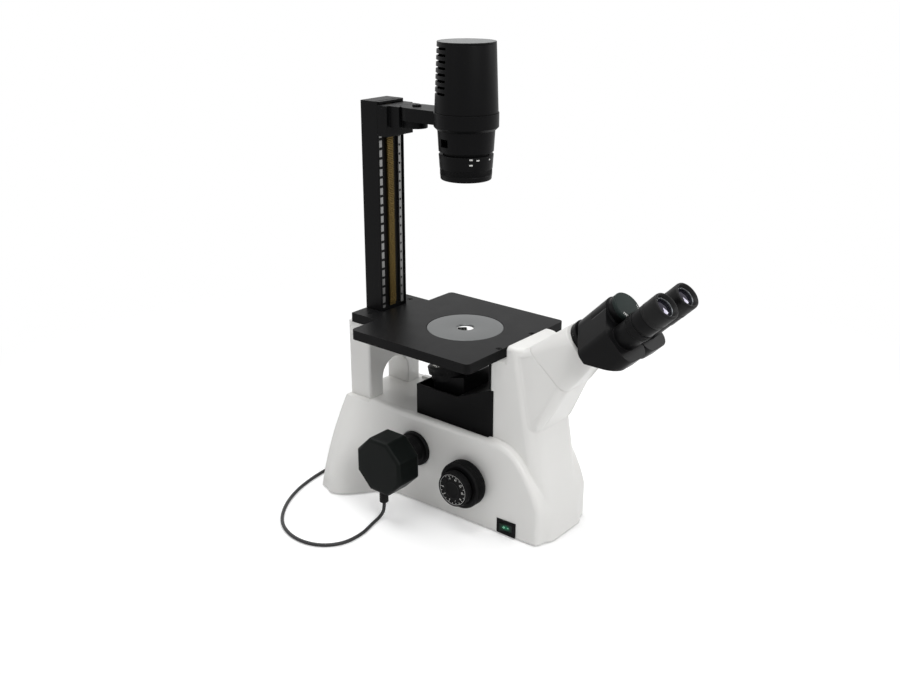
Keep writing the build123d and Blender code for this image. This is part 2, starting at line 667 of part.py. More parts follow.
# Nosepiece: shroud, sliding carrier, tilted turret and its objectives
def nosepiece_shroud():
    outer = make_face(Polyline(
        (tower_rear, shelf_top), (tower_rear, shroud_high), (shroud_rise_y, shroud_top),
        (shroud_rear, shroud_top),
        (shroud_rear, shelf_top), close=True))
    inside = shroud_rear - shroud_wall
    inner = make_face(Polyline(
        (tower_rear - 1, 0), (tower_rear - 1, shroud_high - shroud_wall),
        (shroud_rise_y, shroud_top - shroud_wall),
        (shroud_rise_y, stage_top), (inside, stage_top), (inside, 0), close=True))
    hollow = extrude(Plane.YZ * inner, shroud_half - shroud_wall, both=True)
    body = extrude(Plane.YZ * outer, shroud_half, both=True) - hollow
    for side in (-1, 1):
        wall = sorted((side * (shroud_half - shroud_wall), side * shroud_half))
        body += block(wall, (tower_rear - shroud_tab, tower_rear), (shelf_top, shroud_high))
    return body


def objective_plane(index):
    station = turret_plane.location * Rot(0, 0, 90 * index) * Pos(0, -turret_pitch, 0)
    return Plane(station * Rot(turret_tilt, 0, 0))


def turret():
    slope = tan(radians(turret_tilt))
    low, bore = -turret_thick, turret_pivot + run_fit
    bore_end = low + turret_pivot_long + seat
    body = turned(
        turret_plane, (0, bore_end), (bore, bore_end), (bore, low), (turret_radius, low),
        (turret_radius, (turret_pitch - turret_radius) * slope),
        (0, turret_pitch * slope))
    for index in range(len(objective_lengths)):
        body -= rod(objective_plane(index), objective_thread + run_fit, -3 * turret_thick, turret_thick)
    return body


def objective(index, name):
    length, tip = objective_lengths[name], objective_tips[name]
    return turned(
        objective_plane(index), (0, -objective_stub), (objective_thread, -objective_stub),
        (objective_thread, seat),
        (objective_radius - 1, seat), (objective_radius - 1, 3), (objective_radius, 3.5),
        (objective_radius, 9),
        (objective_radius - 0.6, 9.5), (objective_radius - 0.6, length * 0.6), (tip + 2, length - 6),
        (tip + 1, length - 1), (tip, length), (0, length))


def focus_guide():
    front = guide_rear - guide_thick
    body = block((-guide_half, guide_half), (front, guide_rear), (shelf_top, guide_top))
    body += block((-tee_neck, tee_neck), (front - tee_reach, front), (shelf_top, guide_top))
    tee = front - tee_reach
    return body + block((-tee_half, tee_half), (tee - tee_thick, tee), (shelf_top, guide_top))


def focus_carrier():
    low = -turret_thick
    rear = guide_rear - guide_thick - slip
    body = block((-carrier_half, carrier_half), (carrier_front, rear), (carrier_low, stage_top))
    body += block((ear_inner, leg_outer), (leg_front, 0), (carrier_low, carrier_low + ear_high))
    body += block((leg_inner, leg_outer), (leg_front, leg_rear), (leg_low, carrier_low + ear_high))
    body -= turret_plane * Pos(0, 0, low - carrier_disc_thick / 2 + stage_top / 2) * Box(
        4 * stage_top, 4 * stage_top, stage_top)
    disc = rod(turret_plane, carrier_disc, low - carrier_disc_thick, low)
    body += disc & block((-stage_top, stage_top), (-stage_top, carrier_cut), (0, stage_top))
    body += rod(turret_plane, turret_pivot, low - 1, low + turret_pivot_long)
    tee = guide_rear - guide_thick - tee_reach
    high = guide_top + carrier_play
    body -= block((-tee_half - slip, tee_half + slip), (tee - tee_thick - slip, tee + slip), (0, high))
    body -= block((-tee_neck - slip, tee_neck + slip), (tee, rear + 1), (0, high))
    return body - rod(bench, light_bore - 2, 0, stage_top)


def focus_rack():
    low, high = focus_z - rack_reach, focus_z + rack_reach
    outline = rack_outline(focus_line, low, high, focus_z, focus_module, leg_front, -1)
    bar = extrude(Plane.YZ * outline, (leg_outer - leg_inner) / 2, both=True)
    return Pos((leg_inner + leg_outer) / 2, 0, 0) * bar


# Coaxial focus drive
def coarse_shaft():
    gear = focus_shaft * Pos(0, 0, (leg_inner + leg_outer) / 2) * extrude(
        gear_face(focus_module, focus_teeth), (leg_outer - leg_inner) / 2, both=True)
    body = gear + focus_shaft * Cylinder(coarse_shaft_radius, 2 * coarse_end)
    return body - focus_shaft * Cylinder(fine_shaft_radius + run_fit, 4 * coarse_end)


def fine_shaft():
    return focus_shaft * Cylinder(fine_shaft_radius, 2 * (fine_end - fine_cover))


def both_sides(piece):
    return [piece, mirrored(piece)]


def coarse_knobs():
    knob = turned(
        focus_shaft, (coarse_shaft_radius + run_fit, coarse_start), (coarse_radius - 4, coarse_start),
        (coarse_radius, coarse_start + 2), (coarse_radius, coarse_end - 3), (coarse_radius - 3, coarse_end),
        (coarse_shaft_radius + run_fit, coarse_end))
    return both_sides(knob)


def fine_knobs():
    start = coarse_end + moving_gap
    knob = turned(
        focus_shaft, (fine_shaft_radius + run_fit, start), (fine_radius - 2, start), (fine_radius, start + 2),
        (fine_radius, fine_end - 2), (fine_radius - 2, fine_end), (0, fine_end), (0, fine_end - fine_cover),
        (fine_shaft_radius + run_fit, fine_end - fine_cover))
    return both_sides(knob)


def focus_bushings():
    face = bush_face + bush_flange_thick
    bush = turned(
        focus_shaft, (coarse_shaft_radius + run_fit, pocket_half), (bush_radius, pocket_half),
        (bush_radius, bush_face), (bush_flange, bush_face), (bush_flange, face),
        (coarse_shaft_radius + run_fit, face))
    return both_sides(bush)


# Folding mirror below the objective
def fold_mirror():
    return rod(mirror_plane, mirror_radius, -mirror_thick, 0)


def mirror_mount():
    tray = mirror_plane * Pos(0, 0, -mirror_thick - tray_thick / 2) * Box(
        2 * cheek_outer, 2 * mirror_radius, tray_thick)
    for side in (-1, 1):
        inner, outer = sorted((side * cheek_inner, side * cheek_outer))
        tray += block((inner, outer), (-cheek_half, cheek_half), (mirror_height - cheek_drop, pocket_top))
    return tray


# Side port and camera
def port_adapter():
    port = across * Pos(port_y, port_z, 0)
    face, plug = -port_face - port_flange_thick, port_radius - run_fit
    return turned(
        port, (port_neck - 4, -camera_inner), (port_neck, -camera_inner), (port_neck, face),
        (port_flange, face + 1),
        (port_flange, -port_face), (plug, -port_face), (plug, -pocket_half), (port_neck - 4, -pocket_half))


def camera_body():
    outline = across * Pos(port_y, port_z, -camera_outer) * Rot(0, 0, 22.5) * RegularPolygon(
        camera_across / 2, 8, major_radius=False)
    body = extrude(outline, camera_outer - camera_inner)
    rims = body.faces().sort_by(Axis.X)[0].edges() + body.faces().sort_by(Axis.X)[-1].edges()
    return chamfer(rims, camera_edge)


def cable_gland():
    top, collar = gland_end + gland_long, gland_end + gland_long * 0.7
    return turned(Plane((gland_x, gland_y, 0)), (0, gland_end), (gland_tip, gland_end),
                  (gland_radius, collar),
                  (gland_radius + 1, collar), (gland_radius + 1, top), (0, top))


# Camera cable: down to the bench, round the rear of the base, and a tied coil behind it
def corner_radii(points):
    """Largest arc that each corner's two runs allow."""
    radii = []
    for before, here, after in zip(points, points[1:], points[2:]):
        a, b = Vector(*here) - Vector(*before), Vector(*after) - Vector(*here)
        radii.append(0.45 * min(a.length, b.length) / tan(radians(a.get_angle(b) / 2)))
    return radii


def camera_cable():
    path = FilletPolyline(*cable_route, radius=corner_radii(cable_route))
    section = Plane(origin=path @ 0, z_dir=path % 0) * Circle(cable_radius)
    return sweep(section, path)


def cable_coil():
    ring = rod(bench, coil_outer, bench_gap, coil_top, coil_centre)
    ring -= rod(bench, coil_inner, 0, 2 * coil_top, coil_centre)
    lead = Plane((plug_x, 0, plug_middle), z_dir=(0, 1, 0))
    return ring + rod(lead, cable_radius, coil_centre[1], plug_start + 2 * cable_radius)


def usb_plug():
    end = plug_start + plug_long
    body = block((plug_x - plug_half, plug_x + plug_half), (plug_start, end), (bench_gap, plug_high))
    body = fillet(body.edges().filter_by(Axis.Y), plug_round)
    return body + block((plug_x - shell_wide, plug_x + shell_wide), (end, end + shell_long),
                        (plug_middle - shell_thick / 2, plug_middle + shell_thick / 2))


# Switch, dial and mains inlet
def switch_bezel():
    y, z = (switch_front, switch_rear), (switch_low, switch_high)
    body = block((-switch_face, -switch_floor), y, z)
    inner_y, inner_z = (y[0] + switch_rim, y[1] - switch_rim), (z[0] + switch_rim, z[1] - switch_rim)
    body += block((-switch_floor, -switch_floor + switch_depth), (inner_y[0] + seat, inner_y[1] - seat),
                  (inner_z[0] + seat, inner_z[1] - seat))
    hollow = 2 * seat + switch_wall
    body -= rod(Plane(rocker_axis), rocker_pin + run_fit, inner_z[0] + seat - rocker_axis[2],
                inner_z[1] - seat - rocker_axis[2])
    return body - block((-2 * switch_face, -switch_floor + switch_depth - switch_wall),
                        (inner_y[0] + hollow, inner_y[1] - hollow),
                        (inner_z[0] + hollow, inner_z[1] - hollow))


def switch_rocker():
    gap = 2 * seat + switch_wall + moving_gap
    half_y = (switch_rear - switch_front) / 2 - switch_rim - gap
    half_z = (switch_high - switch_low) / 2 - switch_rim - gap
    lean = radians(rocker_lean)
    outline = make_face(Polyline(
        (half_y, 0), (half_y, -rocker_deep), (-half_y, -rocker_deep), (-half_y, 0),
        (-half_y, rocker_high + half_y * tan(lean)), (0, rocker_high),
        (half_y, rocker_high + half_y * tan(lean)),
        close=True))
    face = Plane(rocker_axis, x_dir=(0, 1, 0), z_dir=(0, 0, 1))
    body = extrude(face * outline, half_z, both=True).rotate(Axis(rocker_axis, (0, 0, 1)), rocker_lean)
    pin = half_z + moving_gap + switch_wall
    return body + rod(Plane(rocker_axis), rocker_pin, -pin, pin)


def brightness_dial():
    dial = across * Pos(dial_y, dial_z, 0)
    start = dial_wall + dial_gap
    return turned(
        dial, (0, pocket_half), (dial_shaft, pocket_half), (dial_shaft, start), (dial_radius, start),
        (dial_radius, start + dial_long - 1), (dial_radius - 1, start + dial_long), (0, start + dial_long))


def power_inlet():
    z = (inlet_low, inlet_high)
    body = block((-inlet_half + seat, inlet_half - seat), (rear_y - inlet_deep, rear_y),
                 (z[0] + seat, z[1] - seat))
    body += block((-inlet_half - inlet_flange, inlet_half + inlet_flange),
                  (rear_y, rear_y + inlet_flange_thick),
                  (z[0] - inlet_flange, z[1] + inlet_flange))
    floor = rear_y + inlet_flange_thick - socket_deep
    body -= block((-inlet_half + socket_inset, inlet_half - socket_inset), (floor, 2 * rear_y),
                  (z[0] + socket_inset, z[1] - socket_inset))
    for x, height in ((-blade_pitch, 0), (0, blade_rise), (blade_pitch, 0)):
        middle = (z[0] + z[1] - blade_rise) / 2 + height
        body += block((x - blade_thick, x + blade_thick), (floor, floor + blade_long),
                      (middle - blade_half, middle + blade_half))
    return body


nodes = {
    "stand_casting": stand_casting(), "bottom_plate": bottom_plate(), "rubber_feet": rubber_feet(),
    "rear_bridge": rear_bridge(), "tube_neck": tube_neck(), "tube_lens": tube_lens(),
    "head_body": head_body(), "hub_disc": hub_disc(),
    "prism_arm_left": prism_arm(-1), "prism_arm_right": prism_arm(1),
    "eyepiece_left": eyepiece(-1), "eyepiece_right": eyepiece(1),
    "eye_lens_left": eye_lens(-1), "eye_lens_right": eye_lens(1), "diopter_ring": diopter_ring(),
    "stage_plate": stage_plate(), "stage_insert": stage_insert(), "stage_screws": stage_screws(),
    "column": column(), "guide_rails": guide_rails(), "lift_rack": lift_rack(),
    "carriage": carriage(), "lift_pinion": lift_pinion(), "lift_knob": lift_knob(),
    "swing_arm": swing_arm(), "pivot_screw": pivot_screw(),
    "lamp_house": lamp_house(), "lamp_lid": lamp_lid(), "lamp_socket": lamp_socket(), "lamp_bulb": lamp_bulb(),
    "collector_lens": collector_lens(), "condenser_barrel": condenser_barrel(),
    "aperture_ring": aperture_ring(),
    "condenser_lens": condenser_lens(),
    "nosepiece_shroud": nosepiece_shroud(), "focus_guide": focus_guide(), "focus_carrier": focus_carrier(),
    "focus_rack": focus_rack(), "turret": turret(),
    "coarse_shaft": coarse_shaft(), "coarse_knobs": coarse_knobs(), "fine_shaft": fine_shaft(),
    "fine_knobs": fine_knobs(), "focus_bushings": focus_bushings(),
    "fold_mirror": fold_mirror(), "mirror_mount": mirror_mount(),
    "port_adapter": port_adapter(), "camera_body": camera_body(), "cable_gland": cable_gland(),
    "camera_cable": camera_cable(), "cable_coil": cable_coil(), "usb_plug": usb_plug(),
    "switch_bezel": switch_bezel(), "switch_rocker": switch_rocker(), "brightness_dial": brightness_dial(),
    "power_inlet": power_inlet(),
}
for index, name in enumerate(objective_lengths):
    nodes["objective_" + name] = objective(index, name)

os.makedirs("parts", exist_ok=True)
for name, piece in nodes.items():
    solids = piece if isinstance(piece, list) else [piece]
    export_step(Compound(children=[s for p in solids for s in p.solids()]), f"parts/{name}.step")
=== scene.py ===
from math import cos, pi, radians, sin, sqrt
import bmesh
import bpy
from mathutils import Matrix, Vector


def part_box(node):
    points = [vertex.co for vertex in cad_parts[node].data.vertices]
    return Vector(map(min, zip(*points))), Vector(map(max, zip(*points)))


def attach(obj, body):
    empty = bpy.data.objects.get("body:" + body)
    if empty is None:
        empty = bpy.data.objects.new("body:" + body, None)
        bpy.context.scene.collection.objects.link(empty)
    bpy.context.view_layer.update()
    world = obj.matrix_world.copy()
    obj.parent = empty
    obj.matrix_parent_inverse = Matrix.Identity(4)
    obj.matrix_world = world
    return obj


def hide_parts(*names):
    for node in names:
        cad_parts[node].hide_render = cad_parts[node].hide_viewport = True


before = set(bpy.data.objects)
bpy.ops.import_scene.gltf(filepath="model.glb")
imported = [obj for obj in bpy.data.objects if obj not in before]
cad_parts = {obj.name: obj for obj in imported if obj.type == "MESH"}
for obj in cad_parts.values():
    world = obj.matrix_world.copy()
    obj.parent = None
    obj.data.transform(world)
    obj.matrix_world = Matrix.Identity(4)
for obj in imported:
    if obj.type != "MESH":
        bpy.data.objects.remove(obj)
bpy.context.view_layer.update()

# The view: a normal lens at the stand's left front, a little above the lamp, on a plain white studio floor.
# A soft key light stands at the front, one hangs above, one is at the left, and smaller ones at the right and rear.
scene = bpy.context.scene
scene.view_settings.view_transform = "Standard"
camera = bpy.data.objects.new("camera", bpy.data.cameras.new("camera"))
camera.data.lens = 41.84
camera.data.sensor_width = 36.0
camera.location = (-1.088, -0.872, 0.773)
camera.rotation_euler = Vector((0.7213, 0.5967, -0.3518)).to_track_quat("-Z", "Y").to_euler()
scene.collection.objects.link(camera)
scene.camera = camera


def node_in(tree, kind, operation=None, values=(), **settings):
    """New node in a tree, with its operation, its first input values or links, and other settings."""
    node = tree.nodes.new(kind)
    if operation:
        node.operation = operation
    for name, value in settings.items():
        setattr(node, name, value)
    for k, value in enumerate(values):
        if isinstance(value, bpy.types.NodeSocket):
            tree.links.new(value, node.inputs[k])
        elif value is not None:
            node.inputs[k].default_value = value
    return node


def in_sight(tree):
    """1 for a ray that shows the backdrop, straight, through glass or mirrored, and 0 for the light on the object."""
    ray = node_in(tree, "ShaderNodeLightPath").outputs
    through = node_in(tree, "ShaderNodeMath", "MAXIMUM", (ray["Is Camera Ray"], ray["Is Transmission Ray"])).outputs[0]
    return node_in(tree, "ShaderNodeMath", "MAXIMUM", (through, ray["Is Glossy Ray"])).outputs[0]


white = (1, 1, 1, 1)
world = bpy.data.worlds.new("white_studio")
scene.world = world
world.use_nodes = True
tree = world.node_tree
ambient = tree.nodes["Background"]
ambient.inputs["Color"].default_value = white
ambient.inputs["Strength"].default_value = 0.31
backdrop = node_in(tree, "ShaderNodeBackground", None, (white,))
either = node_in(tree, "ShaderNodeMixShader", None, (in_sight(tree), ambient.outputs[0], backdrop.outputs[0]))
tree.links.new(either.outputs[0], tree.nodes["World Output"].inputs["Surface"])

floor_lift, fade_near, fade_far, floor_half = 0.25, 0.35, 1.1, 8
floor_paint = bpy.data.materials.new("studio_floor")
floor_paint.use_nodes = True
tree = floor_paint.node_tree
paint = tree.nodes["Principled BSDF"]
for socket, value in (("Base Color", (0.9, 0.9, 0.9, 1)), ("Roughness", 0.9), ("Specular IOR Level", 0.0),
                      ("Emission Color", white)):
    paint.inputs[socket].default_value = value
shown = in_sight(tree)
lift = node_in(tree, "ShaderNodeMath", "MULTIPLY", (shown, floor_lift)).outputs[0]
tree.links.new(lift, paint.inputs["Emission Strength"])
at = node_in(tree, "ShaderNodeTexCoord").outputs["Object"]
away = node_in(tree, "ShaderNodeVectorMath", "LENGTH", (at,)).outputs["Value"]
fade = node_in(tree, "ShaderNodeMapRange", None, (away, fade_near, fade_far)).outputs[0]
far = node_in(tree, "ShaderNodeMath", "MULTIPLY", (fade, shown)).outputs[0]
glow = node_in(tree, "ShaderNodeEmission").outputs[0]
either = node_in(tree, "ShaderNodeMixShader", None, (far, paint.outputs[0], glow))
tree.links.new(either.outputs[0], tree.nodes["Material Output"].inputs["Surface"])
floor = bpy.data.objects.new("studio_floor", bpy.data.meshes.new("studio_floor"))
floor.data.from_pydata([(-floor_half, -floor_half, 0), (floor_half, -floor_half, 0), (floor_half, floor_half, 0),
                        (-floor_half, floor_half, 0)], [], [(0, 1, 2, 3)])
floor.data.materials.append(floor_paint)
scene.collection.objects.link(floor)

for name, place, target, size, power in (
        ("key_softbox", (-0.55, -1.85, 1.7), (0.0, -0.1, 0.3), (1.1, 1.1), 20.0),
        ("top_softbox", (-0.2, 0.1, 2.1), (0.0, 0.0, 0.3), (1.3, 1.3), 19.0),
        ("left_softbox", (-1.9, 0.2, 1.1), (0.0, 0.0, 0.3), (0.9, 1.6), 1.5),
        ("right_window", (1.75, -1.3, 1.2), (0.0, -0.2, 0.35), (0.45, 0.45), 8.0),
        ("rear_strip", (0.5, 1.5, 1.9), (0.0, 0.0, 0.35), (1.6, 0.5), 10.0)):
    lamp = bpy.data.objects.new(name, bpy.data.lights.new(name, "AREA"))
    lamp.data.shape = "RECTANGLE"
    lamp.data.size, lamp.data.size_y = size
    lamp.data.energy = power
    lamp.location = place
    lamp.rotation_euler = (Vector(target) - Vector(place)).to_track_quat("-Z", "Y").to_euler()
    scene.collection.objects.link(lamp)


# Stand casting: one heavy aluminium casting with a flared base, a shelf and the tower, stove enamelled in warm white.
# The mould and the spray leave every edge a little round, and the skin has a fine orange peel.
def mm(*values):
    return tuple(v / 1000 for v in values)


def shader_of(name, color, roughness, metallic=0.0, sockets=None):
    """New material with its base values on the shader's own sockets. Gives back the material and its shader node."""
    material = bpy.data.materials.new(name)
    material.use_nodes = True
    shader = material.node_tree.nodes["Principled BSDF"]
    shader.inputs["Base Color"].default_value = (*color, 1)
    shader.inputs["Roughness"].default_value = roughness
    shader.inputs["Metallic"].default_value = metallic
    for socket, value in (sockets or {}).items():
        shader.inputs[socket].default_value = value
    return material, shader


def new_group(name, inputs):
    """Empty shader group for a finish, with float or colour inputs. Gives back its tree, inputs and outputs."""
    tree = bpy.data.node_groups.new(name, "ShaderNodeTree")
    for label, value in inputs.items():
        kind = "NodeSocketColor" if hasattr(value, "__len__") else "NodeSocketFloat"
        tree.interface.new_socket(label, in_out="INPUT", socket_type=kind).default_value = value
    for label, kind in (("Color", "Color"), ("Roughness", "Float"), ("Height", "Float"), ("Normal", "Vector")):
        tree.interface.new_socket(label, in_out="OUTPUT", socket_type="NodeSocket" + kind)
    return tree, tree.nodes.new("NodeGroupInput").outputs, tree.nodes.new("NodeGroupOutput").inputs


def varied(tree, given, result, noise):
    """Lets a group's roughness follow a noise, and gives back its colour with a tone that follows it too."""
    middle = node_in(tree, "ShaderNodeMath", "SUBTRACT", (noise, 0.5)).outputs[0]
    tone = node_in(tree, "ShaderNodeMath", "MULTIPLY_ADD", (middle, given["Tone Spread"], 1.0)).outputs[0]
    spread = node_in(tree, "ShaderNodeMath", "MULTIPLY_ADD", (middle, given["Roughness Spread"], given["Roughness"]))
    tree.links.new(spread.outputs[0], result["Roughness"])
    return node_in(tree, "ShaderNodeHueSaturation", None, (None, None, tone, None, given["Color"])).outputs[0]


def blend(tree, share, first, second):
    """Colour between two colours, by a share from 0 to 1."""
    mixed = node_in(tree, "ShaderNodeMix", data_type="RGBA")
    for value, socket in ((share, 0), (first, 6), (second, 7)):
        tree.links.new(value, mixed.inputs[socket])
    return mixed.outputs[2]


mid_grey = (0.5, 0.5, 0.5, 1)
grain, given, result = new_group(
    "sprayed_grain",
    {"Color": mid_grey, "Dust Color": mid_grey, "Edge Color": mid_grey, "Grain Scale": 900.0, "Cloud Scale": 30.0,
     "Roughness": 0.5, "Roughness Spread": 0.1, "Tone Spread": 0.15, "Dust": 0.1, "Edge Radius": 0.0005,
     "Edge Wear": 0.0})
at = node_in(grain, "ShaderNodeTexCoord").outputs["Object"]
surface = node_in(grain, "ShaderNodeNewGeometry").outputs["Normal"]
fine = node_in(grain, "ShaderNodeTexNoise", None, (at, None, given["Grain Scale"], 3.0, 0.6)).outputs[0]
cloud = node_in(grain, "ShaderNodeTexNoise", None, (at, None, given["Cloud Scale"], 4.0, 0.55)).outputs[0]
hue = varied(grain, given, result, cloud)
speck = node_in(grain, "ShaderNodeMapRange", None, (cloud, 0.55, 0.8, 0.0, 1.0)).outputs[0]
up = node_in(grain, "ShaderNodeSeparateXYZ", None, (surface,)).outputs["Z"]
level = node_in(grain, "ShaderNodeMath", "MAXIMUM", (up, 0.0)).outputs[0]
settled = node_in(grain, "ShaderNodeMath", "MULTIPLY_ADD", (speck, 0.5, level)).outputs[0]
dust = node_in(grain, "ShaderNodeMath", "MULTIPLY", (settled, given["Dust"])).outputs[0]
# Painted highlight and wear: at edges, found from the bevel normal, the colour goes in patches towards a lighter edge
# tint. This stands partly for rubbed paint and partly for the highlights that run along edges.
eased_edge = node_in(grain, "ShaderNodeBevel", None, (given["Edge Radius"],), samples=6).outputs[0]
turned_away = node_in(grain, "ShaderNodeVectorMath", "DOT_PRODUCT", (eased_edge, surface)).outputs["Value"]
worn_lit_edge = node_in(grain, "ShaderNodeMapRange", None, (turned_away, 0.995, 0.88, 0.0, 1.0)).outputs[0]
patchy_worn_lit_edge = node_in(grain, "ShaderNodeMath", "MULTIPLY", (worn_lit_edge, speck)).outputs[0]
edge_wear_and_highlight = node_in(grain, "ShaderNodeMath", "MULTIPLY", (patchy_worn_lit_edge, given["Edge Wear"])).outputs[0]
dusted = blend(grain, dust, hue, given["Dust Color"])
grain.links.new(blend(grain, edge_wear_and_highlight, dusted, given["Edge Color"]), result["Color"])
grain.links.new(fine, result["Height"])
grain.links.new(eased_edge, result["Normal"])


def finished(name, group, color, roughness, bump, metallic=0.0, sockets=None, **values):
    """Material whose colour, roughness and relief come from a shared group. Its inputs are named as keywords.

    The bump is its strength and its depth in metres.
    """
    material, shader = shader_of(name, color, roughness, metallic, sockets)
    tree = material.node_tree
    skin = tree.nodes.new("ShaderNodeGroup")
    skin.node_tree = group
    skin.inputs["Color"].default_value = (*color, 1)
    skin.inputs["Roughness"].default_value = roughness
    for label, value in values.items():
        skin.inputs[label.replace("_", " ")].default_value = value
    relief = tree.nodes.new("ShaderNodeBump")
    relief.inputs["Strength"].default_value, relief.inputs["Distance"].default_value = bump
    tree.links.new(skin.outputs["Color"], shader.inputs["Base Color"])
    tree.links.new(skin.outputs["Roughness"], shader.inputs["Roughness"])
    tree.links.new(skin.outputs["Height"], relief.inputs["Height"])
    tree.links.new(skin.outputs["Normal"], relief.inputs["Normal"])
    tree.links.new(relief.outputs["Normal"], shader.inputs["Normal"])
    return material


def piece(name, mesh, material, body, slot, *stands_for):
    """Puts a finished mesh on its body, in place of the CAD nodes that it stands for."""
    made = bpy.data.objects.new(name, mesh)
    if not mesh.materials:
        mesh.materials.append(material)
    scene.collection.objects.link(made)
    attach(made, body)
    if stands_for:
        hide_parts(*stands_for)
    return made


def evaluated(mesh, prepare):
    """Plain mesh that is left when the modifiers that prepare() adds have run."""
    blank = bpy.data.objects.new("blank", mesh)
    scene.collection.objects.link(blank)
    prepare(blank)
    done = bpy.data.meshes.new_from_object(blank.evaluated_get(bpy.context.evaluated_depsgraph_get()))
    bpy.data.objects.remove(blank)
    return done


def eased(mesh, width, segments=2):
    """The mesh with each sharp edge eased by a bevel, in mm, and flat faces kept flat to the eye."""
    def prepare(blank):
        edge = blank.modifiers.new("edge", "BEVEL")
        edge.width = width / 1000
        edge.segments = segments
        edge.limit_method = "ANGLE"
        edge.angle_limit = radians(35)
        edge.miter_outer = "MITER_ARC"
        even = blank.modifiers.new("even", "WEIGHTED_NORMAL")
        even.keep_sharp = True
    mesh.shade_smooth()
    return evaluated(mesh, prepare)


def cad_form(node, width, segments=2, reshape=None):
    """Welded copy of a CAD node's mesh, reshaped where that is asked, with eased edges."""
    shape = bmesh.new()
    shape.from_mesh(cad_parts[node].data)
    bmesh.ops.remove_doubles(shape, verts=shape.verts, dist=2e-6)
    if reshape:
        reshape(shape)
    bmesh.ops.dissolve_limit(shape, angle_limit=radians(0.4), verts=shape.verts, edges=shape.edges)
    mesh = bpy.data.meshes.new(node + "_form")
    shape.to_mesh(mesh)
    shape.free()
    return eased(mesh, width, segments)


white_enamel = finished(
    "white_enamel", grain, (0.80, 0.795, 0.775), 0.36, (0.05, 0.0004), Grain_Scale=380.0, Cloud_Scale=9.0,
    Roughness_Spread=0.08, Tone_Spread=0.03, Dust_Color=(0.55, 0.53, 0.49, 1), Dust=0.02, Edge_Radius=0.003,
    sockets={"Specular IOR Level": 0.5, "Coat Weight": 0.2, "Coat Roughness": 0.15})
neck_root, root_facing = Vector(mm(0, -157, 160)), Vector((0, -116, 23)).normalized()
tower_flat, tower_round = 0.028, 0.020
root_narrow, root_sink, root_fade, root_play = 0.9375, 0.0015, 0.008, 5e-5


def drawn_in(shape):
    """Sets the root of the neck in from the tower's sides, and sinks it into their rounding."""
    for vert in shape.verts:
        ahead = (vert.co - neck_root).dot(root_facing)
        if ahead > -root_play and (ahead > root_play or abs(vert.co.x) > tower_flat + root_play):
            vert.co.x *= root_narrow
            if ahead < root_play:
                over = max(0.0, abs(vert.co.x) - tower_flat)
                depth = tower_round - sqrt(tower_round ** 2 - over ** 2)
                vert.co -= root_facing * (depth + root_sink * min(1.0, over / root_fade))


piece("stand_casting_form", cad_form("stand_casting", 0.5, reshape=drawn_in), white_enamel, "stand", "white_enamel",
      "stand_casting")


# Rubber feet: four black moulded discs under the corners of the base, each with a hollow tread.
# They are pressed into sockets in the casting, and keep it from sliding on the bench.
def place_at(origin, z=(0, 0, 1), x=(1, 0, 0)):
    """Matrix of a place: its origin in mm, and where its z and x axes point."""
    z, x = Vector(z).normalized(), Vector(x).normalized()
    return Matrix.Translation(mm(*origin)) @ Matrix((x, z.cross(x), z)).transposed().to_4x4()


def smooth(mesh, limit=32):
    """The mesh shaded smooth, but for edges sharper than a limit in degrees."""
    mesh.shade_smooth()
    mesh.set_sharp_from_angle(angle=radians(limit))
    return mesh


def lathe(name, place, profile, ease=0.4, closed=False, steps=96, material=None):
    """Mesh turned about a place's z axis from (radius, height) points in mm, with eased corners.

    A third value gives that point so many flat sides. A closed profile is a ring.
    """
    outline = []
    for k, (radius, height, *sides) in enumerate(profile):
        here = Vector((radius, height))
        if sides or not ease or radius == 0 or (not closed and k in (0, len(profile) - 1)):
            outline.append((here, *(sides or (0,))))
            continue
        before = Vector(profile[k - 1][:2]) - here
        after = Vector(profile[(k + 1) % len(profile)][:2]) - here
        cut = min(ease, 0.4 * before.length, 0.4 * after.length)
        start, end = here + before.normalized() * cut, here + after.normalized() * cut
        for t in (0, 1 / 3, 2 / 3, 1):
            outline.append(((1 - t) ** 2 * start + 2 * t * (1 - t) * here + t * t * end, 0))
    shape, rings = bmesh.new(), []
    for spot, sides in outline:
        ring = []
        for j in range(steps if spot.x > 1e-6 else 1):
            angle = 2 * pi * j / steps
            reach = spot.x / cos(angle % (2 * pi / sides) - pi / sides) if sides else spot.x
            ring.append(shape.verts.new(place @ (Vector((reach * cos(angle), reach * sin(angle), spot.y)) / 1000)))
        rings.append(ring)
    for low, high in zip(rings, rings[1:] + rings[:1] if closed else rings[1:]):
        for j in range(steps):
            corners = [low[j % len(low)], low[(j + 1) % len(low)], high[(j + 1) % len(high)], high[j % len(high)]]
            if len(low) > 1 or len(high) > 1:
                shape.faces.new(list(dict.fromkeys(corners)))
    bmesh.ops.recalc_face_normals(shape, faces=shape.faces)
    mesh = bpy.data.meshes.new(name)
    shape.to_mesh(mesh)
    shape.free()
    if material:
        mesh.materials.append(material)
    return smooth(mesh, 38)


def joined(name, *meshes):
    """One mesh from several, each with its own material."""
    shape, materials = bmesh.new(), []
    for mesh in meshes:
        before = len(shape.faces)
        shape.from_mesh(mesh)
        shape.faces.ensure_lookup_table()
        for face in shape.faces[before:]:
            wanted = mesh.materials[face.material_index] if mesh.materials else None
            if wanted not in materials:
                materials.append(wanted)
            face.material_index = materials.index(wanted)
    mesh = bpy.data.meshes.new(name)
    shape.to_mesh(mesh)
    shape.free()
    for material in materials:
        if material:
            mesh.materials.append(material)
    return mesh


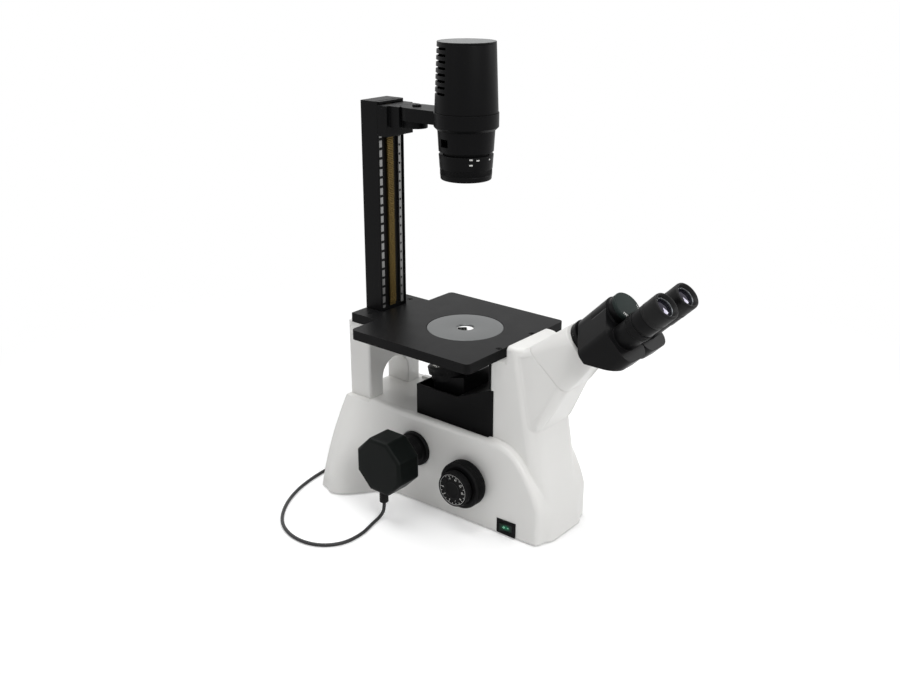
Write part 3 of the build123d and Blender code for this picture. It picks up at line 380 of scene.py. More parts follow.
foot_rubber = finished(
    "foot_rubber", grain, (0.016, 0.016, 0.016), 0.72, (0.25, 0.0003), Grain_Scale=1200.0, Cloud_Scale=60.0,
    Dust_Color=(0.2, 0.19, 0.18, 1), Dust=0.08, sockets={"Specular IOR Level": 0.3})
foot_profile = [(0, 1.4), (6.4, 1.4), (7.2, 0), (10.2, 0), (10.9, 0.9), (10.9, 8), (0, 8)]
feet = [lathe("foot", place_at((x, y, 0)), foot_profile, 0.3, steps=48)
        for x, y in ((-40, -158), (40, -158), (-104, 148), (104, 148))]
piece("feet", joined("feet", *feet), foot_rubber, "stand", "black_rubber", "rubber_feet")

# Bottom plate: a black enamelled steel sheet that closes the base from below and keeps dust out of the light path.
# Two rows of pan-head screws with hexagon sockets hold it.
repeat = bpy.data.node_groups.new("repeat", "GeometryNodeTree")
for label, kind in (("Geometry", "Geometry"), ("Item", "Object"), ("Material", "Material"), ("Count", "Int"),
                    ("Step", "Vector"), ("Turn", "Float")):
    repeat.interface.new_socket(label, in_out="INPUT", socket_type="NodeSocket" + kind)
repeat.interface.new_socket("Geometry", in_out="OUTPUT", socket_type="NodeSocketGeometry")
given = repeat.nodes.new("NodeGroupInput").outputs
stations = repeat.nodes.new("GeometryNodeMeshLine")
repeat.links.new(given["Count"], stations.inputs["Count"])
repeat.links.new(given["Step"], stations.inputs["Offset"])
index = repeat.nodes.new("GeometryNodeInputIndex").outputs[0]
turned_by = node_in(repeat, "ShaderNodeMath", "MULTIPLY", (index, given["Turn"])).outputs[0]
angles = node_in(repeat, "ShaderNodeCombineXYZ", None, (None, None, turned_by)).outputs[0]
source = repeat.nodes.new("GeometryNodeObjectInfo")
repeat.links.new(given["Item"], source.inputs["Object"])
copies = repeat.nodes.new("GeometryNodeInstanceOnPoints")
for made, socket in ((stations.outputs["Mesh"], "Points"), (source.outputs["Geometry"], "Instance"),
                     (angles, "Rotation")):
    repeat.links.new(made, copies.inputs[socket])
solid = node_in(repeat, "GeometryNodeRealizeInstances", None, (copies.outputs[0],)).outputs[0]
coloured = repeat.nodes.new("GeometryNodeSetMaterial")
repeat.links.new(solid, coloured.inputs["Geometry"])
repeat.links.new(given["Material"], coloured.inputs["Material"])
repeat.links.new(coloured.outputs[0], repeat.nodes.new("NodeGroupOutput").inputs[0])


def repeated(item, material, place, count, step=(0, 0, 0), turn=0.0):
    """Plain mesh of an item set out so many times, each a step in mm and a turn in radians on from the last."""
    model = bpy.data.objects.new("item", item)
    scene.collection.objects.link(model)

    def prepare(blank):
        made = blank.modifiers.new("repeat", "NODES")
        made.node_group = repeat
        sockets = {s.name: s.identifier for s in repeat.interface.items_tree if s.in_out == "INPUT"}
        for label, value in (("Item", model), ("Material", material), ("Count", count), ("Step", mm(*step)),
                             ("Turn", turn)):
            made[sockets[label]] = value
    mesh = evaluated(bpy.data.meshes.new("blank"), prepare)
    bpy.data.objects.remove(model)
    mesh.transform(place)
    return mesh


def coat(material, *node_names):
    """Gives CAD nodes that keep their own mesh a finished material."""
    for node_name in node_names:
        for face_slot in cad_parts[node_name].material_slots:
            face_slot.material = material


streaks, given, result = new_group(
    "drawn_streaks",
    {"Color": mid_grey, "Across X": 900.0, "Across Y": 900.0, "Across Z": 12.0, "Roughness": 0.3,
     "Roughness Spread": 0.2, "Tone Spread": 0.2, "Edge Radius": 0.0004})
at = node_in(streaks, "ShaderNodeTexCoord").outputs["Object"]
pull = node_in(streaks, "ShaderNodeCombineXYZ", None, (given["Across X"], given["Across Y"], given["Across Z"]))
drawn = node_in(streaks, "ShaderNodeVectorMath", "MULTIPLY", (at, pull.outputs[0])).outputs[0]
lines = node_in(streaks, "ShaderNodeTexNoise", None, (drawn, None, 1.0, 3.0, 0.6)).outputs[0]
streaks.links.new(varied(streaks, given, result, lines), result["Color"])
streaks.links.new(lines, result["Height"])
edge = node_in(streaks, "ShaderNodeBevel", None, (given["Edge Radius"],), samples=6).outputs[0]
streaks.links.new(edge, result["Normal"])

# The lighter edge tint given to black parts is partly wear and partly a painted highlight along their edges.
black_enamel = finished(
    "black_enamel", grain, (0.0036, 0.0036, 0.0039), 0.40, (0.08, 0.0003), Grain_Scale=700.0, Cloud_Scale=22.0,
    Roughness_Spread=0.12, Dust_Color=(0.12, 0.12, 0.12, 1), Dust=0.02, Edge_Color=(0.06, 0.06, 0.06, 1),
    Edge_Wear=0.35, Edge_Radius=0.0009, sockets={"Specular IOR Level": 0.07})
steel = finished("ground_steel", streaks, (0.56, 0.56, 0.55), 0.28, (0.08, 0.0001), 1.0)
screw_profile = [(0, 1.9), (1.6, 1.9, 6), (1.6, 0.9, 6), (2.9, 0.9), (3.6, 1.6), (3.6, 2.5), (0, 2.5)]
row_out, row_front, row_step, row_screws = 44, -132, 96, 4
coat(black_enamel, "bottom_plate")
for side in (-1, 1):
    screws = repeated(lathe("screw", place_at((0, 0, 0)), screw_profile, 0.25, steps=48), steel,
                      place_at((row_out * side, row_front, 0)), row_screws, (0, row_step, 0))
    piece("plate_screws", screws, steel, "stand", "steel")

# Rear bridge: a second aluminium casting in white enamel, bolted on the shelf, with an arched way through it.
# It carries the rear of the stage and the lamp column.
arch_drop, arch_half, crown_low, crown_high = 0.047, 0.031, 0.203, 0.2365
bridge = cad_form("rear_bridge", 1.2, 3)
for vert in bridge.vertices:
    if abs(vert.co.x) < arch_half and crown_low < vert.co.z < crown_high:
        vert.co.z -= arch_drop
piece("rear_bridge_form", bridge, white_enamel, "stand", "white_enamel", "rear_bridge")


# Nosepiece shroud: a matt black moulded cover round the focus carrier, screwed to the shelf, its tabs let into the
# tower. Its flat sides keep a fine eroded texture.
def dressed(node, material, body, slot, width, segments=2):
    """Puts a finished copy of a CAD node, with its edges eased, in that node's place."""
    return piece(node + "_form", cad_form(node, width, segments), material, body, slot, node)


black_moulding = finished(
    "black_moulding", grain, (0.0040, 0.0040, 0.0043), 0.48, (0.2, 0.0002), Grain_Scale=1900.0, Cloud_Scale=45.0,
    Dust_Color=(0.14, 0.14, 0.14, 1), Dust=0.02, Edge_Color=(0.05, 0.05, 0.05, 1), Edge_Wear=0.3,
    Edge_Radius=0.0006, sockets={"Specular IOR Level": 0.07})
dressed("nosepiece_shroud", black_moulding, "stand", "black_enamel", 0.7)

# Folding mirror: a front-silvered glass disc on a bent black bracket that is fixed under the shelf.
# It sends the light that comes down from the objective up the inclined tube.
silvered = finished("front_silver", streaks, (0.86, 0.87, 0.88), 0.03, (0.0, 0.0001), 1.0, Roughness_Spread=0.02,
                    Tone_Spread=0.02)
coat(silvered, "fold_mirror")
coat(black_enamel, "mirror_mount")


# Focus drive: two shafts one inside the other run across the base in brass bushings, with a coarse and a fine knob at
# each end. The knobs are turned from black plastic, ribbed round the rim, and the fine one has a printed white scale.
def boxes(name, *spans):
    """Mesh of boxes, each from its low and high values on x, y and z in mm."""
    shape = bmesh.new()
    for x, y, z in spans:
        size = Matrix.Diagonal(((x[1] - x[0]) / 1000, (y[1] - y[0]) / 1000, (z[1] - z[0]) / 1000, 1))
        spot = Matrix.Translation(mm((x[0] + x[1]) / 2, (y[0] + y[1]) / 2, (z[0] + z[1]) / 2))
        bmesh.ops.create_cube(shape, size=1, matrix=spot @ size)
    mesh = bpy.data.meshes.new(name)
    shape.to_mesh(mesh)
    shape.free()
    return mesh


def ribs(material, place, count, reach, half, span):
    """Ring of ribs about a place's z axis: their low and high radius, half their width, and their two ends, in mm."""
    return repeated(boxes("rib", (reach, (-half, half), span)), material, place, count, turn=2 * pi / count)


def painted(mesh, material):
    """The mesh in one material."""
    mesh.materials.clear()
    mesh.materials.append(material)
    return mesh


def lettering(text, height, place):
    """Flat mesh of a few characters, so many mm high, in a place's xy plane."""
    curve = bpy.data.curves.new("mark", "FONT")
    curve.body, curve.size = text, height / 1000
    curve.align_x, curve.align_y = "CENTER", "CENTER"
    curve.offset = height / 30000
    blank = bpy.data.objects.new("mark", curve)
    scene.collection.objects.link(blank)
    mesh = bpy.data.meshes.new_from_object(blank.evaluated_get(bpy.context.evaluated_depsgraph_get()))
    bpy.data.objects.remove(blank)
    mesh.transform(place)
    return mesh


brass = finished("machined_brass", streaks, (0.15, 0.105, 0.036), 0.36, (0.1, 0.0001), 1.0, Across_Z=60.0,
                 Tone_Spread=0.3)
white_ink = finished("white_ink", grain, (0.62, 0.62, 0.60), 0.55, (0.05, 0.0001), Grain_Scale=2500.0,
                     Cloud_Scale=120.0, Tone_Spread=0.2, Dust=0.0, Edge_Radius=0.0001)
coat(brass, "focus_bushings", "focus_rack")
coat(steel, "coarse_shaft", "fine_shaft")
coarse_profile = [
    (4.6, 66.2), (29.5, 66.2), (31, 67.4), (33.4, 68.2), (33.4, 69.6), (33.0, 70.2), (33.0, 83.6), (33.4, 84.2),
    (33.4, 85.4), (31.8, 86.9), (27.2, 86.9), (26.4, 86), (4.6, 86)]
fine_profile = [
    (3.1, 87.7), (22.6, 87.7), (24.8, 88.6), (25.4, 89.8), (25.4, 98.8), (24.6, 100.3), (23.4, 100.5), (22.9, 99.9),
    (13.6, 99.9), (12.9, 100.5), (11.6, 100.5), (9.5, 99.2), (0, 98.6), (0, 96.5), (3.1, 96.5)]
scale_line = [(22.0, 99.94), (22.45, 99.94), (22.45, 99.8), (22.0, 99.8)]
dot_profile = [(0, 0.15), (0.7, 0.15), (0.7, 0)]
stud_profile = [(0, 0.7), (3.2, 0.7), (4.6, 1.15), (5.2, 0.6), (5.2, 0)]
dots, figures, figure_under_stud, figure_reach, figure_high, figure_face = 20, 10, 9, 17.2, 3.8, 99.95
coarse_pair, fine_pair = [], []
for side in (-1, 1):
    shaft = place_at((0, -59, 67), (side, 0, 0), (0, 1, 0))
    coarse_pair += [
        lathe("coarse", shaft, coarse_profile, 0.5, True, material=black_moulding),
        ribs(black_moulding, shaft, 96, (32.9, 33.95), 0.5, (70.2, 83.6))]
    dot = lathe("dot", place_at((20.4, 0, 99.8)), dot_profile, 0, steps=12)
    stud_place = shaft @ place_at((14.6, -8.4, 99.8))
    fine_pair += [
        lathe("fine", shaft, fine_profile, 0.4, True, material=black_moulding),
        lathe("scale_line", shaft, scale_line, 0, True, material=white_ink),
        ribs(black_moulding, shaft, 72, (24.9, 25.45), 0.45, (90.4, 98.2)),
        repeated(dot, white_ink, shaft, dots, turn=2 * pi / dots),
        lathe("finger_stud", stud_place, stud_profile, 0.3, steps=48, material=black_moulding)]
    for k in range(figures):
        angle = 2 * pi * k / figures
        if k != figure_under_stud:
            spot = place_at((figure_reach * cos(angle), figure_reach * sin(angle), figure_face), (0, 0, 1),
                            (-sin(angle), cos(angle), 0))
            fine_pair.append(painted(lettering(str(2 * k), figure_high, shaft @ spot), white_ink))
piece("coarse_knob_pair", joined("coarse_knob_pair", *coarse_pair), black_moulding, "coarse", "black_plastic",
      "coarse_knobs")
piece("fine_knob_pair", joined("fine_knob_pair", *fine_pair), black_moulding, "fine", "black_plastic", "fine_knobs")

# Nosepiece: a black carrier on a ground steel tee rail lifts the tilted turret, which has a milled rim for the fingers.
# Four plated objectives screw into it, each with a milled ring and the usual colour band of its power. A black shield
# on the tower keeps stray light out.
black_anodised = finished(
    "black_anodised", grain, (0.0042, 0.0042, 0.0045), 0.40, (0.12, 0.0002), Grain_Scale=2400.0, Cloud_Scale=30.0,
    Roughness_Spread=0.12, Dust_Color=(0.12, 0.12, 0.12, 1), Dust=0.02, Edge_Color=(0.1, 0.1, 0.1, 1), Edge_Wear=0.4,
    sockets={"Specular IOR Level": 0.07})
nickel = finished("nickel_plate", grain, (0.60, 0.595, 0.57), 0.22, (0.05, 0.0001), 1.0, Grain_Scale=2500.0,
                  Cloud_Scale=90.0, Roughness_Spread=0.14, Tone_Spread=0.12, Dust=0.0, Edge_Radius=0.0003)
front_lens = finished("front_lens", grain, (0.02, 0.02, 0.035), 0.04, (0.0, 0.0001), Dust=0.0, Roughness_Spread=0.02,
                      sockets={"IOR": 1.6, "Coat Weight": 0.6, "Coat Tint": (0.75, 0.7, 1.0, 1)})
shield_top, flange_y, flange_z = 250.4, (-84.2, -77.6), (206, 250.4)
light_shield = boxes("light_shield", ((-46, 46), (-87.8, -84.2), (196, shield_top)),
                     ((-46, -43.6), flange_y, flange_z), ((43.6, 46), flange_y, flange_z))
piece("light_shield", eased(light_shield, 0.5), black_moulding, "stand", "black_enamel")
coat(steel, "focus_guide")
dressed("focus_carrier", black_anodised, "nosepiece", "grey_anodised", 0.5)
lean, objective_circle, seat_height = radians(15), 25, 216
turret_under, bore_tight, bore_free = -0.0138, 0.0085, 0.0094
turret_place = place_at((0, objective_circle * cos(lean), seat_height - objective_circle * sin(lean)),
                        (0, sin(lean), cos(lean)))
turret_mesh = painted(cad_form("turret", 0.4), black_anodised)
for vert in turret_mesh.vertices:
    spot = turret_place.inverted() @ vert.co
    spot.z = max(spot.z, turret_under)
    if bore_tight < spot.xy.length < bore_free:
        spot.xy *= bore_free / spot.xy.length
    vert.co = turret_place @ spot
rim_ribs = ribs(black_anodised, turret_place, 90, (36.3, 36.95), 0.5, (-13.2, -4.4))
piece("turret_form", joined("turret_form", turret_mesh, rim_ribs), black_anodised, "turret_group", "black_enamel",
      "turret")
for k, (power, length, tip, band) in enumerate((
        ("4x", 32, 8.0, (0.55, 0.02, 0.02)), ("10x", 40, 6.5, (0.75, 0.5, 0.02)),
        ("20x", 41, 5.5, (0.03, 0.3, 0.06)), ("40x", 43, 4.0, (0.1, 0.35, 0.7)))):
    axis = (turret_place @ Matrix.Rotation(k * pi / 2, 4, "Z") @ Matrix.Translation(mm(0, -objective_circle, 0))
            @ Matrix.Rotation(lean, 4, "X"))
    groove = length * 0.44
    barrel = lathe("barrel", axis, [
        (0, -5), (9.45, -5), (9.45, 0.4), (10.4, 0.4), (10.4, 3), (11.1, 3.5), (11.1, 9), (10.85, 9.6),
        (10.85, groove), (10.5, groove + 0.4), (10.5, groove + 1.9), (10.85, groove + 2.3), (10.85, length * 0.6),
        (tip + 1.9, length - 6), (tip + 0.9, length - 1), (tip - 0.1, length - 0.1), (tip * 0.7, length - 0.1),
        (tip * 0.62, length - 0.8)], 0.25, material=nickel)
    milling = ribs(nickel, axis, 64, (10.9, 11.45), 0.33, (4, 8.6))
    band_ink = finished("power_band_" + power, grain, band, 0.4, (0.05, 0.0001), Dust=0.0, Edge_Radius=0.0001)
    ring = lathe("band", axis, [(10.4, groove + 0.5), (10.7, groove + 0.6), (10.7, groove + 1.7),
                                (10.4, groove + 1.8)], 0, True, material=band_ink)
    glass = lathe("glass", axis, [(tip * 0.63, length - 0.9), (tip * 0.4, length - 0.5), (0, length - 0.35)], 0.2,
                  material=front_lens)
    piece("objective_form_" + power, joined("objective_form_" + power, barrel, milling, ring, glass), nickel,
          "turret_group", "nickel", "objective_" + power)

# Stage: one thick black anodised plate, screwed to the tower and the bridge, with a round ground insert that lifts out.
# The four cap screws are sunk level with its top.
rings, given, result = new_group(
    "turning_marks",
    {"Color": mid_grey, "Pitch": 2600.0, "Roughness": 0.3, "Roughness Spread": 0.15, "Tone Spread": 0.2})
at = node_in(rings, "ShaderNodeTexCoord").outputs["Object"]
on_plane = node_in(rings, "ShaderNodeVectorMath", "MULTIPLY", (at, (1, 1, 0))).outputs[0]
reach = node_in(rings, "ShaderNodeVectorMath", "LENGTH", (on_plane,)).outputs["Value"]
scaled = node_in(rings, "ShaderNodeMath", "MULTIPLY", (reach, given["Pitch"])).outputs[0]
lines = node_in(rings, "ShaderNodeTexNoise", noise_dimensions="1D")
rings.links.new(scaled, lines.inputs["W"])
lines.inputs["Scale"].default_value = 1.0
rings.links.new(varied(rings, given, result, lines.outputs[0]), result["Color"])
rings.links.new(lines.outputs[0], result["Height"])
rings.links.new(node_in(rings, "ShaderNodeBevel", None, (0.0004,), samples=6).outputs[0], result["Normal"])
insert_metal = finished("turned_insert", rings, (0.13, 0.135, 0.135), 0.34, (0.25, 0.0001), 0.7)
upright = place_at((0, 0, 0))
insert_profile = [(12.1, 262), (54.6, 262), (54.6, 264.4), (54.0, 264.95), (13.2, 264.95), (12.1, 263.9)]
cap_screw = [(0, 262.6), (1.9, 262.6, 6), (1.9, 264.6, 6), (3.3, 264.7), (3.9, 264.2), (3.9, 261), (2.35, 261),
             (2.35, 241.2), (0, 241.2)]
dressed("stage_plate", black_anodised, "stand", "black_enamel", 0.9, 3)
piece("stage_insert_form", lathe("stage_insert_form", upright, insert_profile, 0.2, True), insert_metal, "stand",
      "grey_anodised", "stage_insert")
screws = [lathe("cap_screw", place_at((x, y, 0)), cap_screw, 0.25, steps=48)
          for x, y in ((-38, -88.5), (38, -88.5), (-43, 143), (43, 143))]
piece("stage_screws_form", joined("stage_screws_form", *screws), black_enamel, "stand", "steel", "stage_screws")

# Lamp column: a black anodised box section, closed at the top, standing in the notch of the stage. Two ground dovetail
# rails with sunk screws and a brass rack are let into its front.
column_anodised = finished(
    "drawn_anodised", streaks, (0.0045, 0.0045, 0.0048), 0.4, (0.1, 0.0002), Across_X=500.0, Across_Y=500.0,
    Across_Z=5.0, Tone_Spread=0.5, Roughness_Spread=0.16, Edge_Radius=0.0008, sockets={"Specular IOR Level": 0.07})
rail_steel = finished("rail_steel", streaks, (0.26, 0.26, 0.255), 0.4, (0.1, 0.0001), 0.85, Across_Z=8.0,
                      Tone_Spread=0.25)
dressed("column", column_anodised, "stand", "black_enamel", 0.7)
coat(rail_steel, "guide_rails")
coat(brass, "lift_rack")
rail_screws, left_step, right_step = 22, 13.5, 13.2
slot_head = boxes("slot", ((-2.7, 2.7), (-0.06, 0.4), (-1.9, 1.9)))
round_head = lathe("hole", place_at((0, 0, 0), (0, -1, 0)), [(0, 0.02), (1.3, 0.02), (1.75, 0.06), (1.75, -0.4)], 0,
                   steps=24)
left_row = repeated(slot_head, black_enamel, place_at((-19.75, 138, 275)), rail_screws, (0, 0, left_step))
right_row = repeated(round_head, black_enamel, place_at((19.1, 138, 281)), rail_screws, (0, 0, right_step))
piece("rail_screws", joined("rail_screws", left_row, right_row), black_enamel, "stand", "steel")
end_plate = eased(boxes("rail_end_plate", ((-24.6, 24.6), (134.6, 141.4), (566.55, 570.2))), 0.4)
piece("rail_end_plate", end_plate, column_anodised, "stand", "black_enamel")

# Lamp carriage: a black block that slides on the rails, with a bracket and boss for the swinging arm. A steel pinion in
# it runs on the rack, and a ribbed knob on the right turns the pinion. A set screw at the left sets the drag.
dressed("carriage", black_enamel, "lift_carriage", "black_enamel", 0.8)
coat(steel, "lift_pinion")
drag_screw = lathe("drag_screw", place_at((-22, 114.8, 557.3), (-1, 0, 0), (0, 1, 0)), [
    (0, -1.6), (1.6, -1.6, 6), (1.6, -0.3, 6), (3.0, -0.3), (3.4, 0.05), (3.9, 0.05), (3.9, -2)], 0.15, steps=48)
piece("drag_screw", drag_screw, black_enamel, "lift_carriage", "steel")
knob_place = place_at((0, 131.9, 544.75), (1, 0, 0), (0, 1, 0))
lift_body = lathe("lift_body", knob_place, [
    (3.1, 27.6), (13.8, 27.6), (13.8, 30.4), (16.4, 31.4), (16.4, 45.6), (15.2, 47.5), (10, 47.5), (8.8, 46.9),
    (0, 46.9), (0, 38), (3.1, 38)], 0.5, True, material=black_moulding)
lift_ribs = ribs(black_moulding, knob_place, 48, (16.0, 16.95), 0.6, (32.2, 45.0))
piece("lift_knob_form", joined("lift_knob_form", lift_body, lift_ribs), black_moulding, "lift_drive",
      "black_plastic", "lift_knob")

# Swinging arm: a black die casting that turns on the pivot screw and ends in the clamp ring for the lamp house.
# The pivot screw has a low head with a hexagon socket.
dressed("swing_arm", black_enamel, "lamp_arm", "black_enamel", 1.2, 3)
pivot_screw = lathe("pivot_screw_form", place_at((0, 87, 0)), [
    (0, 566.4), (2.4, 566.4, 6), (2.4, 568.8, 6), (5.2, 568.9), (6.4, 568.0), (6.4, 566.2), (5.95, 566.2),
    (5.95, 548), (5.6, 548), (5.6, 537.1), (0, 537.1)], 0.3, steps=72)
piece("pivot_screw_form", pivot_screw, black_enamel, "lift_carriage", "steel", "pivot_screw")

# Lamp house: a turned and tapered aluminium can, enamelled black, with cooling slots at its rear left and a black lid.
# The lamp stands on a ceramic holder under the lid, above the collector lens.
# Painted highlight: the lid's black top is painted a paler grey, standing for the light from above that falls on it.
lid_top_painted_highlight = finished("lid_top_painted_highlight", rings, (0.10, 0.105, 0.105), 0.4, (0.12, 0.0001), 0.3, Pitch=1800.0)
ceramic = finished("lamp_ceramic", grain, (0.78, 0.75, 0.68), 0.45, (0.1, 0.0003), Dust=0.0)
clear_glass = finished("clear_glass", grain, (0.95, 0.97, 0.98), 0.03, (0.0, 0.0001), Dust=0.0,
                       Roughness_Spread=0.02, sockets={"Transmission Weight": 0.9, "IOR": 1.52})
can = lathe("can", upright, [
    (31.1, 544.1), (38.9, 544.1), (38.9, 566.55), (42.4, 566.55), (42.4, 568.6), (38.95, 653.95), (36.6, 653.95),
    (39.1, 571.4), (36.5, 571.4), (36.5, 554.05), (31.1, 554.05)], 0.3, True, 144)
slot_count, slot_low, slot_high, slot_step = 8, 590.4, 593.8, 8.1
slots = boxes("slots", *[((-60, -12), (3, 60), (slot_low + slot_step * k, slot_high + slot_step * k))
                         for k in range(slot_count)])
cutter = bpy.data.objects.new("cutter", slots)
scene.collection.objects.link(cutter)


def cut_slots(blank):
    cut = blank.modifiers.new("cut", "BOOLEAN")
    cut.operation, cut.solver, cut.object = "DIFFERENCE", "EXACT", cutter


house_mesh = smooth(evaluated(can, cut_slots), 38)
bpy.data.objects.remove(cutter)
piece("lamp_house_form", house_mesh, black_enamel, "lamp_arm", "black_enamel", "lamp_house")
lid_rim = lathe("lid_rim", upright, [
    (0, 654.0), (38.9, 654.0), (38.9, 656.4), (38.4, 656.95), (37.9, 656.95), (37.6, 656.7), (0, 656.7)], 0.25,
    steps=144, material=black_enamel)
# The top face of the lid carries the paler painted highlight; its rim stays black enamel.
lid_top = lathe("lid_top", upright, [(0, 656.9), (37.2, 656.9), (37.7, 656.75)], 0.2, steps=144, material=lid_top_painted_highlight)
piece("lamp_lid_form", joined("lamp_lid_form", lid_rim, lid_top), black_enamel, "lamp_arm", "black_enamel",
      "lamp_lid")
coat(ceramic, "lamp_socket")
coat(clear_glass, "lamp_bulb", "collector_lens")

# Condenser: a black barrel under the clamp ring with a small window for the filter lever and a lens in its foot. Below
# it is the aperture ring, milled round its rim, with white marks for the objectives in use.
dressed("condenser_barrel", black_enamel, "lamp_arm", "black_enamel", 0.5)
coat(clear_glass, "condenser_lens")
ring_body = lathe("ring_body", upright, [
    (31.1, 478.1), (33.7, 478.1), (34.5, 478.9), (35.0, 484.6), (34.6, 485.2), (34.9, 492.8), (35.6, 493.3),
    (36.5, 506.4), (36.9, 511.4), (36.2, 511.95), (31.1, 511.95)], 0.4, True, 128, black_enamel)
ring_ribs = ribs(black_enamel, upright, 120, (34.2, 35.15), 0.42, (485.6, 492.4))
mark_reach, mark_high, marks = (36.1, 36.62), 1.9, []
for angle, out, low, half in ((228.8, 0.25, 508.6, 2.2), (228.8, -0.25, 501.4, 2.3), (243.8, 0.15, 507.4, 2.2),
                              (275.9, 0.15, 506.6, 1.3)):
    mark = boxes("mark", (mark_reach, (-half, half), (low, low + mark_high)))
    mark.transform(Matrix.Rotation(radians(angle), 4, "Z") @ Matrix.Translation(mm(out, 0, 0)))
    marks.append(painted(mark, white_ink))
piece("aperture_ring_form", joined("aperture_ring_form", ring_body, ring_ribs, *marks), black_enamel, "aperture",
      "black_enamel", "aperture_ring")

# Neck: the last white casting, tapering from the tower's shoulder to the round seat of the viewing head. Its seam with
# the tower shows as a fine line, and the tube lens sits inside it.
neck_start, neck_long, fuller_below, fuller_above = 0.229, 0.055, 0.34, 0.12
tube_place = place_at((0, 0, 93), (0, -1, 1))
neck = cad_form("tube_neck", 0.6)
for vert in neck.vertices:
    spot = tube_place.inverted() @ vert.co
    share = max(0.0, (spot.z - neck_start) / neck_long)
    spot.x *= root_narrow + (1 - root_narrow) * share
    spot.y *= 1 + (fuller_below if spot.y < 0 else fuller_above) * share
    vert.co = tube_place @ spot
piece("tube_neck_form", neck, white_enamel, "stand", "white_enamel", "tube_neck")
coat(clear_glass, "tube_lens")

# Viewing head: a black core and flange clamped on the neck, and on it two die-cast prism arms that swing apart like a
# hinge. A grey disc with white ticks for the distance of the eyes closes the core.
head_enamel = finished(
    "head_enamel", grain, (0.0030, 0.0030, 0.0033), 0.38, (0.07, 0.0003), Grain_Scale=600.0, Cloud_Scale=18.0,
    Roughness_Spread=0.08, Dust_Color=(0.1, 0.1, 0.1, 1), Dust=0.015, Edge_Color=(0.05, 0.05, 0.05, 1),
    Edge_Wear=0.3, Edge_Radius=0.0012, sockets={"Specular IOR Level": 0.1})
disc_enamel = finished("disc_enamel", grain, (0.012, 0.019, 0.0175), 0.5, (0.1, 0.0002), Grain_Scale=1500.0,
                       Cloud_Scale=40.0, Tone_Spread=0.12, Dust=0.0, sockets={"Specular IOR Level": 0.12})
dressed("head_body", head_enamel, "stand", "black_enamel", 0.6)
dressed("prism_arm_left", head_enamel, "arm_left", "black_enamel", 2.2, 4)
dressed("prism_arm_right", head_enamel, "arm_right", "black_enamel", 2.2, 4)
disc = lathe("disc", tube_place, [(0, 361.05), (21.6, 361.05), (21.6, 365.3), (20.2, 366.75), (0, 366.75)], 0.5,
             material=disc_enamel)
tick_face, ticks = (366.6, 366.9), []
for inner, half, first, count, step in ((14.6, 0.55, -163, 6, 7.5), (16.2, 0.45, -34, 4, 8)):
    ticks.append(repeated(boxes("tick", ((inner, 18.2), (-half, half), tick_face)), white_ink,
                          tube_place @ Matrix.Rotation(radians(first), 4, "Z"), count, turn=radians(step)))
flange_screw = lathe("flange_screw", place_at((25.9, 0, 288.5), (1, 0, 0), (0, 0, 1)), [
    (0, -1.2), (1.1, -1.2, 6), (1.1, 0, 6), (1.9, 0.05), (1.9, -0.6)], 0.1, steps=24)
flange_screws = repeated(flange_screw, steel, tube_place @ Matrix.Rotation(radians(150), 4, "Z"), 3, turn=2 * pi / 3)
piece("hub_disc_form", joined("hub_disc_form", disc, *ticks), disc_enamel, "stand", "grey_anodised", "hub_disc")
piece("flange_screws", flange_screws, steel, "stand", "steel")

# Eyepieces: black enamelled tubes that slide into the arms, each with a soft rubber eye cup, a bright turned rim and a
# coated lens. The left one has a milled ring that sets it to the eye.
cup_rubber = finished(
    "cup_rubber", grain, (0.0055, 0.0055, 0.0055), 0.45, (0.15, 0.0002), Grain_Scale=1500.0, Cloud_Scale=60.0,
    Dust_Color=(0.14, 0.14, 0.14, 1), Dust=0.02, sockets={"Specular IOR Level": 0.16})
rim_metal = finished("rim_metal", grain, (0.09, 0.095, 0.1), 0.25, (0.05, 0.0001), 0.7, Dust=0.0, Edge_Radius=0.0003)
eye_glass, shader = shader_of("eye_glass", (0.003, 0.002, 0.006), 0.05, sockets={
    "IOR": 1.6, "Coat Weight": 0.25, "Coat Roughness": 0.02, "Specular IOR Level": 0.25})
tree = eye_glass.node_tree
facing = node_in(tree, "ShaderNodeLayerWeight", None, (0.35,)).outputs["Facing"]
sheen = node_in(tree, "ShaderNodeMix", data_type="RGBA")
sheen.inputs[6].default_value, sheen.inputs[7].default_value = (0.75, 0.45, 0.95, 1), (0.45, 0.85, 0.7, 1)
tree.links.new(facing, sheen.inputs[0])
tree.links.new(sheen.outputs[2], shader.inputs["Coat Tint"])
tree.links.new(sheen.outputs[2], shader.inputs["Specular Tint"])
eye_half, eye_drop = 25.6, 30.735
tube_profile = [(9.6, 352.1), (11.5, 352.1), (11.5, 386.1), (17.9, 386.1), (18.3, 386.6), (18.3, 402), (17.9, 402.5),
                (17.9, 403.5), (9.6, 403.5)]
cup_profile = [(17.8, 403.0), (18.5, 403.4), (18.5, 426.6), (17.9, 428.9), (16.6, 429.9), (15.5, 429.6),
               (13.4, 426.2), (12.6, 424.5), (12.6, 420), (15, 405)]
rim_profile = [(12.7, 424.0), (13.1, 425.2), (12.4, 425.6), (11.6, 424.6), (11.6, 420), (12.7, 420)]
lens_profile = [(0, 420.1), (11.5, 420.1), (11.5, 422.6), (8.2, 423.4), (4.2, 423.85), (0, 424)]
